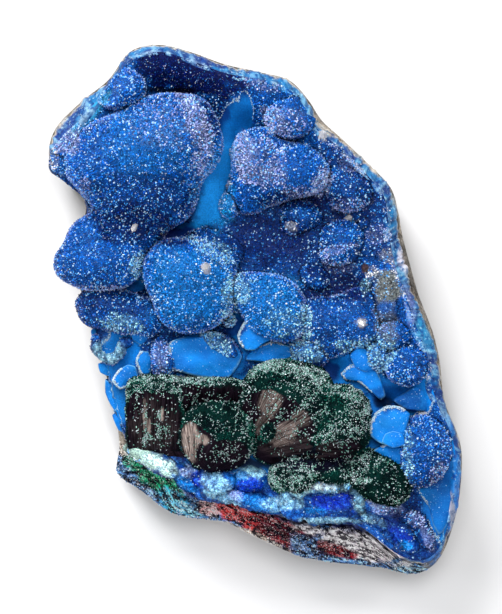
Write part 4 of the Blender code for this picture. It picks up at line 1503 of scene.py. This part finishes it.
def host_rock(material):
    """The host rock, a closed shell with chips on its broken sides and long ridges along the low edge."""
    bearing = crowded_bearings(ROCK_COLUMNS)
    grid = rock_rings(bearing)
    rings, along, across = grid[..., :3], grid[..., 3], grid[..., 4]
    down = np.arange(len(rings))[:, None]
    foot = LIP_ROWS + SIDE_ROWS + 4
    chips = 1.1 * fractal(rings, 6.0, 5, 42) - nearest_seed(rings, 3.4, 43)
    chips = chips - 0.4 * nearest_seed(rings, 1.2, 47)
    chips = chips * (0.45 + 0.55 * ease(LIP_ROWS + 4, LIP_ROWS + 10, down))
    on_side = ease(4, 7, down) * (1 - ease(foot - 4, foot - 0.8, down))
    on_band = ease(4, 6, down) * (1 - ease(LIP_ROWS + 3, LIP_ROWS + 7, down))
    push = on_side * (1 - on_band) * (chips + 0.05) + on_band * -0.15
    rings += polar(1.0, bearing, 0.35) * np.minimum(push, 0.05)[..., None]
    rings[..., 2] += on_band * lip_relief(rings, along, across) * ease(0.8, 2.4, edge_at(bearing)[1])
    rings[..., 2] = np.maximum(rings[..., 2], 0.0)
    table, faces = joined_shells([grid])
    points, lines = table[:, :3], table[:, 3:]

    _, lip, crest, _ = edge_at(bearing_of(points))
    ragged = 1.2 * fractal(points, 2.0, 3, 53)
    band = ease(0.8, 2.4, lip + ragged) * ease(2.0, 5.5, points[:, 2] + 2 * ragged) * (points[:, 1] < -15)
    stone = tone_of("stone") * (0.8 + 0.5 * fractal(points, 3.0, 3, 48))[:, None]
    stone = mixed(stone, ("cream", 0.6 * ease(0.1, 0.6, fractal(points, 4.0, 3, 49))))
    zones = band_colours(points, *lines.T) * random.uniform(0.5, 1.5, (len(points), 1))
    rim = ease(-1.6, -0.2, points[:, 2] - crest + CRUST + ragged) * (1 - band)
    colour = mixed(stone, (zones, band), (tinted(points, stone, RIM_ZONES), rim))
    values = {"band": band, "colour": np.clip(colour, 0, 1)}
    return make_mesh("host_rock_broken", points, faces, material, values, uv=lines / 100)


def band_grains(material):
    """Grains of quartz and of the coloured minerals on the rock's broken band."""
    bearing = random.uniform(*np.radians(BAND_BEARINGS), GRAINS)
    bearing = bearing[random.random(len(bearing)) < ease(0.8, 5.0, edge_at(bearing)[1])]
    points, along, across = lip_surface(bearing, random.uniform(0.02, 0.99, len(bearing)))
    points[:, 2] += lip_relief(points, along, across) - 0.14
    points = points[random.random(len(points)) < 0.10 + 0.60 * ease(0.10, 0.6, pale_streaks(along, across))]
    count = len(points)
    colour = band_zones(points) * between(0.5, 1.7, count)[:, None]
    colour = mixed(colour, (paled(colour), 0.9 * (random.random(count) > 0.55)))
    colour = mixed(colour, ("quartz", 0.8 * (random.random(count) > 0.88)))
    size = between(0.05, 0.14, count, 1.8)
    colour = np.clip(colour, 0, 1)
    return crystals_mesh("band_grains", points, (0.0, -0.3, 1.0), size, size * 1.2, 4, material, colour, 0.7)


def druse_balls(material, name, titles, fineness):
    """Masses under the druse, one mesh of closed shells. The larger a ball, the more rows it has."""
    shells = []
    for numbers in [numbers for title in titles for numbers in DRUSE[title]]:
        rows = int(fineness * max(numbers[3:6])) + 7
        rings, _, _, crease = druse_surface(numbers, directions(rows, int(1.8 * rows)))
        shells.append(np.dstack([rings, crease]))
    table, faces = joined_shells(shells)
    points, crease = table[:, :3], table[:, 3]
    knobbly = knobbly_share(points)
    # Painted shade: darker in the creases where masses meet, and dimmed under the crystals. Painted light:
    # brighter in the knobbly zone, whose low edge faces away from the lamps.
    shade = (0.42 + 0.80 * knobbly) * (1 - (0.75 - 0.25 * knobbly) * crease)
    values = {"colour": np.clip(blue_of(points) * shade[:, None], 0, 1), "bare": np.zeros(len(points))}
    return make_mesh(name, points, faces, material, values)


def azure_plates(material):
    """The bare plates, closed shells with a flat top, a rounded edge and upright sides, as plate_at says."""
    share = [np.linspace(0, 0.88, 10), np.linspace(0.91, 1, 8), np.linspace(1.05, 2, 12), [2.3, 2.6, 2.8, 3]]
    share, bearing = np.meshgrid(np.concatenate(share), around(PLATE_COLUMNS), indexing="ij")
    table, faces = joined_shells([np.dstack([plate_at(title, bearing, share), share]) for title in PLATES])
    points, share = table[:, :3], table[:, 3]
    border = ease(0.90, 0.98, share) * (1 - ease(1.0, 1.15, share))
    border = border * ease(-0.4, 0.3, fractal(points, 1.6, 2, 96))
    clouds = 0.9 + 0.25 * fractal(points, 2.4, 2, 97)
    colour = mixed("azure", ("plate_border", 0.8 * border)) * clouds[:, None]
    # Painted shade: darker down the sides towards the foot, and in the navy and black zones.
    colour = mixed(colour, ("navy", 0.6 * ease(1.2, 1.9, share)))
    colour = tinted(points, colour, zones_of("navy", "black"))
    return make_mesh("azure_plates", points, faces, material, {"colour": np.clip(colour, 0, 1)})


def druse_sites():
    """Where the druse's crystals stand: on every open part of the druse balls and of the floor between them.

    Also their axes, and how deep in a crease each stands.
    """
    sprays = SPRAYS.values()
    found = []
    for numbers in DRUSE_BALLS:
        toward = spread_directions(numbers, CRYSTAL_SPACING)
        start, _ = on_ball(numbers, toward)
        free = exposed(start, [other for other in DRUSE_BALLS if other is not numbers], margin=1.0)
        free &= start[:, 2] > floor_at(start)
        points, normals, hidden, crease = druse_surface(numbers, toward[free])
        free = exposed(points, sprays) & clear_of_plates(points) & ~hidden & (normals[:, 2] > -0.75)
        found.append(picked(free, points, normals, crease))
    points = floor_sites(CRYSTAL_SPACING)
    free = exposed(points, DRUSE_BALLS, margin=1.0) & exposed(points, sprays) & clear_of_plates(points)
    free &= random.random(len(points)) > ease(0.3, 0.7, bare_share(points))
    points, normals, hidden, crease = run_together(points[free], DRUSE)
    return joined([*found, picked(~hidden, points, normals, crease)])


def floor_sites(spacing):
    """Points about one spacing apart on the floor, denser where it is steep."""
    step = spacing * 0.8
    sides = [np.arange(-half, half, step) for half in (HALF_WIDTH, HALF_LENGTH)]
    x, y = (grid.ravel() for grid in np.meshgrid(*sides))
    x, y = x + random.uniform(-0.5, 0.5, len(x)) * step, y + random.uniform(-0.5, 0.5, len(y)) * step
    points = stacked(x, y, 0)
    reach, lip, _, width = edge_at(bearing_of(points))
    points = points[distance_of(points) < reach - lip - width * 0.95]
    points[:, 2] = floor_at(points)
    return points[random.random(len(points)) < 0.64 / np.maximum(floor_normal(points)[:, 2], 0.3)]


def quartz_druse(material):
    """The druse, in pieces from the high end of the specimen to the low end."""
    roots, axes, crease = druse_sites()
    knobbly = knobbly_share(roots)
    kept = random.random(len(roots)) > 0.5 * knobbly
    roots, axes, crease, knobbly = picked(kept, roots, axes, crease, knobbly)
    count = len(roots)
    # Painted shade: crystals in the creases between masses are darkened.
    colours = blue_of(roots, random.random(count)) * (1 - crease * (0.80 - 0.30 * knobbly))[:, None]
    frosty = ease(0.10, 0.35, colours[:, 0])
    # Lilac on crystals that lean far from upright on the balls' steep sides: partly frost, partly a painted
    # sheen of quartz seen edge-on.
    steep_frost_and_sheen = (1 - ease(0.05, 0.35, axes[:, 2])) * (random.random(count) < 0.5)
    colours, bright = glittering(roots, colours)
    colours = mixed(colours, ("lilac", 0.5 * steep_frost_and_sheen))
    width = between(*CRYSTAL_WIDTH, count, 1.6) * (1 + 0.20 * frosty + 0.20 * bright)
    height = between(*CRYSTAL_HEIGHT, count) * (1 + 0.35 * frosty + 0.20 * bright) * (1 - 0.4 * knobbly)
    parts = np.array_split(np.argsort(-roots[:, 1]), math.ceil(count / MOST_CRYSTALS))
    return [
        crystals_mesh(
            f"quartz_druse_{number}", *picked(part, roots, axes, width, height), 4, material, colours[part]
        )
        for number, part in enumerate(parts, 1)
    ]


def malachite(material):
    """The sprays' bodies as one mesh of closed shells."""
    shells = []
    for title in SPRAYS:
        rings, _, broken, fibres = spray_surface(title, directions(SPRAY_ROWS, SPRAY_COLUMNS))
        shells.append(np.dstack([rings, broken, fibres]))
    table, faces = joined_shells(shells)
    points = table[:, :3]
    # Painted sheen on the broken fibres.
    pale = strongest(points, FIBRE_SHEEN, 0.2 * fractal(points, 1.2, 2, 81))
    values = {"broken": table[:, 3], "pale": pale, "violet": 0.9 * violet_share(points)}
    return make_mesh("malachite_bodies", points, faces, material, values, uv=table[:, 4:])


def spray_sites(spacing):
    """Points on every open part of the malachite, with normals and how broken each is."""
    found = []
    for title, numbers in SPRAYS.items():
        points, normals, broken, _ = spray_surface(title, spread_directions(numbers, spacing))
        free = points[:, 2] > floor_at(points)
        for other in [other for other in SPRAYS if other != title]:
            inside = ~exposed(points, [SPRAYS[other]])
            for distance, normal in SPRAY_BREAKS.get(other, ()):
                inside &= (points - SPRAYS[other][:3]) @ unit(np.array(normal)) < distance - 0.1
            free &= ~inside
        found.append(picked(free, points, normals, broken))
    return joined(found)


def spray_needles(material):
    """The tips of the malachite's needles, all over the sprays but for their broken parts."""
    roots, axes, broken = spray_sites(NEEDLE_SPACING)
    roots, axes = picked(random.random(len(roots)) > 0.97 * broken, roots, axes)
    count = len(roots)
    green = mixed("needle_dark", ("needle", ease(-0.2, 0.6, fractal(roots, 4.0, 2, 73))))
    green = mixed(green, ("needle_violet", 0.9 * violet_share(roots)))
    green = green * between(0.2, 2.2, count, 1.5)[:, None]
    width, height = between(0.06, 0.12, count), between(0.14, 0.36, count)
    return crystals_mesh("needle_tips", roots, axes, width, height, 4, material, green, 0.35)


def spray_sparkles(material):
    """A dust of quartz on the malachite, thick in some places, in clumps and along rays."""
    roots, axes, broken = spray_sites(SPARKLE_SPACING)
    thick = np.maximum(0.075, 0.56 * strongest(roots, DUSTY, 0.25 * fractal(roots, 2.0, 3, 71)))
    clumps = 0.35 + 1.2 * ease(-0.35, 0.35, fractal(roots, 0.8, 3, 72))
    on_fan = roots[:, :1] > from_grid(233, 0)[0]
    fan, block = (from_grid(*SPRAY_SOURCES[title]) for title in ("fan", "block"))
    apart = roots[:, :2] - np.where(on_fan, fan, block)
    bearing = np.arctan2(*apart.T) * np.where(on_fan[:, 0], 22.0, 170.0)
    rays = fractal(stacked(bearing, distance_of(apart) / 2.5, 0), 1.0, 2, 74)
    clumps = clumps * (0.5 + 1.0 * ease(-0.3, 0.3, rays))
    roots, axes = picked(random.random(len(roots)) < thick * clumps * (1 - 0.45 * broken), roots, axes)
    count = len(roots)
    white = between("dust_dark", "dust", count, 0.7)
    white = mixed(white, ("dust_green", 0.6 * (random.random(count) < 0.45)))
    width, height = between(0.04, 0.12, count, 1.5), between(0.10, 0.30, count)
    return crystals_mesh("quartz_dust", roots, axes, width, height, 4, material, white, 0.5)


def fringes(material):
    """Frosty crystals along the borders of the smooth plates, and along the border of the bare floor."""
    found = []
    for title, (start, end, crowd) in FRINGES.items():
        count = int((end - start) * crowd * 3)
        bearing = np.radians(random.uniform(start, end, count))
        found.append(plate_at(title, bearing, random.normal(0.99, 0.05, count)))
    points = floor_sites(FRINGE_SPACING)
    bare = bare_share(points)
    border = (bare > 0.25) & (bare < 0.60) & (fractal(points, 5.0, 2, 95) > 0.05)
    roots = np.concatenate([*found, points[border]])
    free = exposed(roots, [*DRUSE_BALLS, *SPRAYS.values()]) & (roots[:, 2] > floor_at(roots) - 0.15)
    roots = roots[free]
    count = len(roots)
    colours = np.clip(between("foam", "white", count) * between(0.5, 1.1, count)[:, None], 0, 1)
    width = between(0.06, 0.14, count)
    return crystals_mesh("frosty_fringes", roots, UP, width, width * 1.8, 5, material, colours)


def rim_frost(material):
    """A line of bright crystals along the crest of the rim."""
    bearing = random.uniform(0, FULL_TURN, FROST)
    reach, lip, rim, width = edge_at(bearing)
    radius = reach - lip - width * random.normal(1.08, 0.14, len(bearing))
    points = polar(radius, bearing, rim - 0.08 - 0.10 * random.random(len(bearing)))
    kept = (points[:, 1] > -12) & (points[:, 0] > -6) & (width > 0.9)
    points = points[kept & exposed(points, DRUSE_BALLS) & (fractal(points, 3.0, 2, 91) > 0.15)]
    count = len(points)
    axes = unit(points * (-0.01, -0.01, 0) + UP)
    colours = np.clip(between("frost", "white", count, 2) * between(0.4, 1.1, count)[:, None], 0, 1)
    width = between(0.08, 0.16, count)
    return crystals_mesh("rim_frost", points, axes, width, width * 1.7, 5, material, colours)


# ---------------------------------------------------------------- stage


def look_down():
    """The camera straight over the specimen, its picture as high as the frame."""
    data = bpy.data.cameras.new("camera")
    data.sensor_fit = "VERTICAL"
    data.sensor_height = SENSOR
    data.lens = SENSOR * (CAMERA_HEIGHT - SUBJECT_HEIGHT) / PICTURE_MM
    data.clip_start = 0.01
    camera = bpy.data.objects.new("camera", data)
    camera.location = Vector((*PICTURE_CENTRE, CAMERA_HEIGHT)) * MM
    bpy.context.scene.collection.objects.link(camera)
    bpy.context.scene.camera = camera


def softbox(name, place, size, watts):
    """A square area light at a place in metres, turned to the specimen."""
    data = bpy.data.lights.new(name, "AREA")
    data.size = size
    data.energy = watts
    light = bpy.data.objects.new(name, data)
    light.location = place
    light.rotation_euler = (Vector(place) - Vector(LIT_PLACE)).to_track_quat("Z", "Y").to_euler()
    bpy.context.scene.collection.objects.link(light)


def stage():
    """The room's faint light, the softboxes and a pale floor."""
    world = bpy.data.worlds.new("room")
    world.use_nodes = True
    world.node_tree.nodes["Background"].inputs[0].default_value = (0.9, 0.95, 1.0, 1.0)
    world.node_tree.nodes["Background"].inputs[1].default_value = 0.04
    bpy.context.scene.world = world
    bpy.context.scene.view_settings.view_transform = "Standard"
    for light in SOFTBOXES:
        softbox(*light)
    corners = STAGE_REACH * np.array([(-1, -1, 0), (1, -1, 0), (1, 1, 0), (-1, 1, 0)])
    make_mesh("floor", corners, [(0, 1, 2, 3)], floor_paint(), smooth=False)


# ---------------------------------------------------------------- the specimen


def main():
    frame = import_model()

    druse = druse_paint()
    blue = under_druse_paint()
    white = sparkle_paint()
    small = [title for title in DRUSE if title.startswith(("edge", "cup"))]
    large = [title for title in DRUSE if title not in small]
    balls = [druse_balls(blue, "druse_balls", large, 3.3), druse_balls(blue, "edge_lumps", small, 6.3)]
    pieces = {
        "host_rock": [host_rock(rock_paint()), band_grains(white)],
        "shattuckite": [crust_floor(blue), crust_edge(edge_paint()), *balls, azure_plates(azure_paint())],
        "malachite": [malachite(malachite_paint()), spray_needles(needle_paint())],
        "quartz": [*quartz_druse(druse), fringes(druse), rim_frost(druse), spray_sparkles(white)],
    }
    for slot, members in pieces.items():
        for piece in members:
            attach(piece, "root")
    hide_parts("host_rock")
    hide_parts("shattuckite_crust")
    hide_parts("malachite_sprays")

    clear = clear_quartz_paint()
    for title, node in frame["nodes"].items():
        if title.startswith("quartz_crystal"):
            for slot in node.material_slots:
                slot.material = clear

    stage()
    look_down()


main()
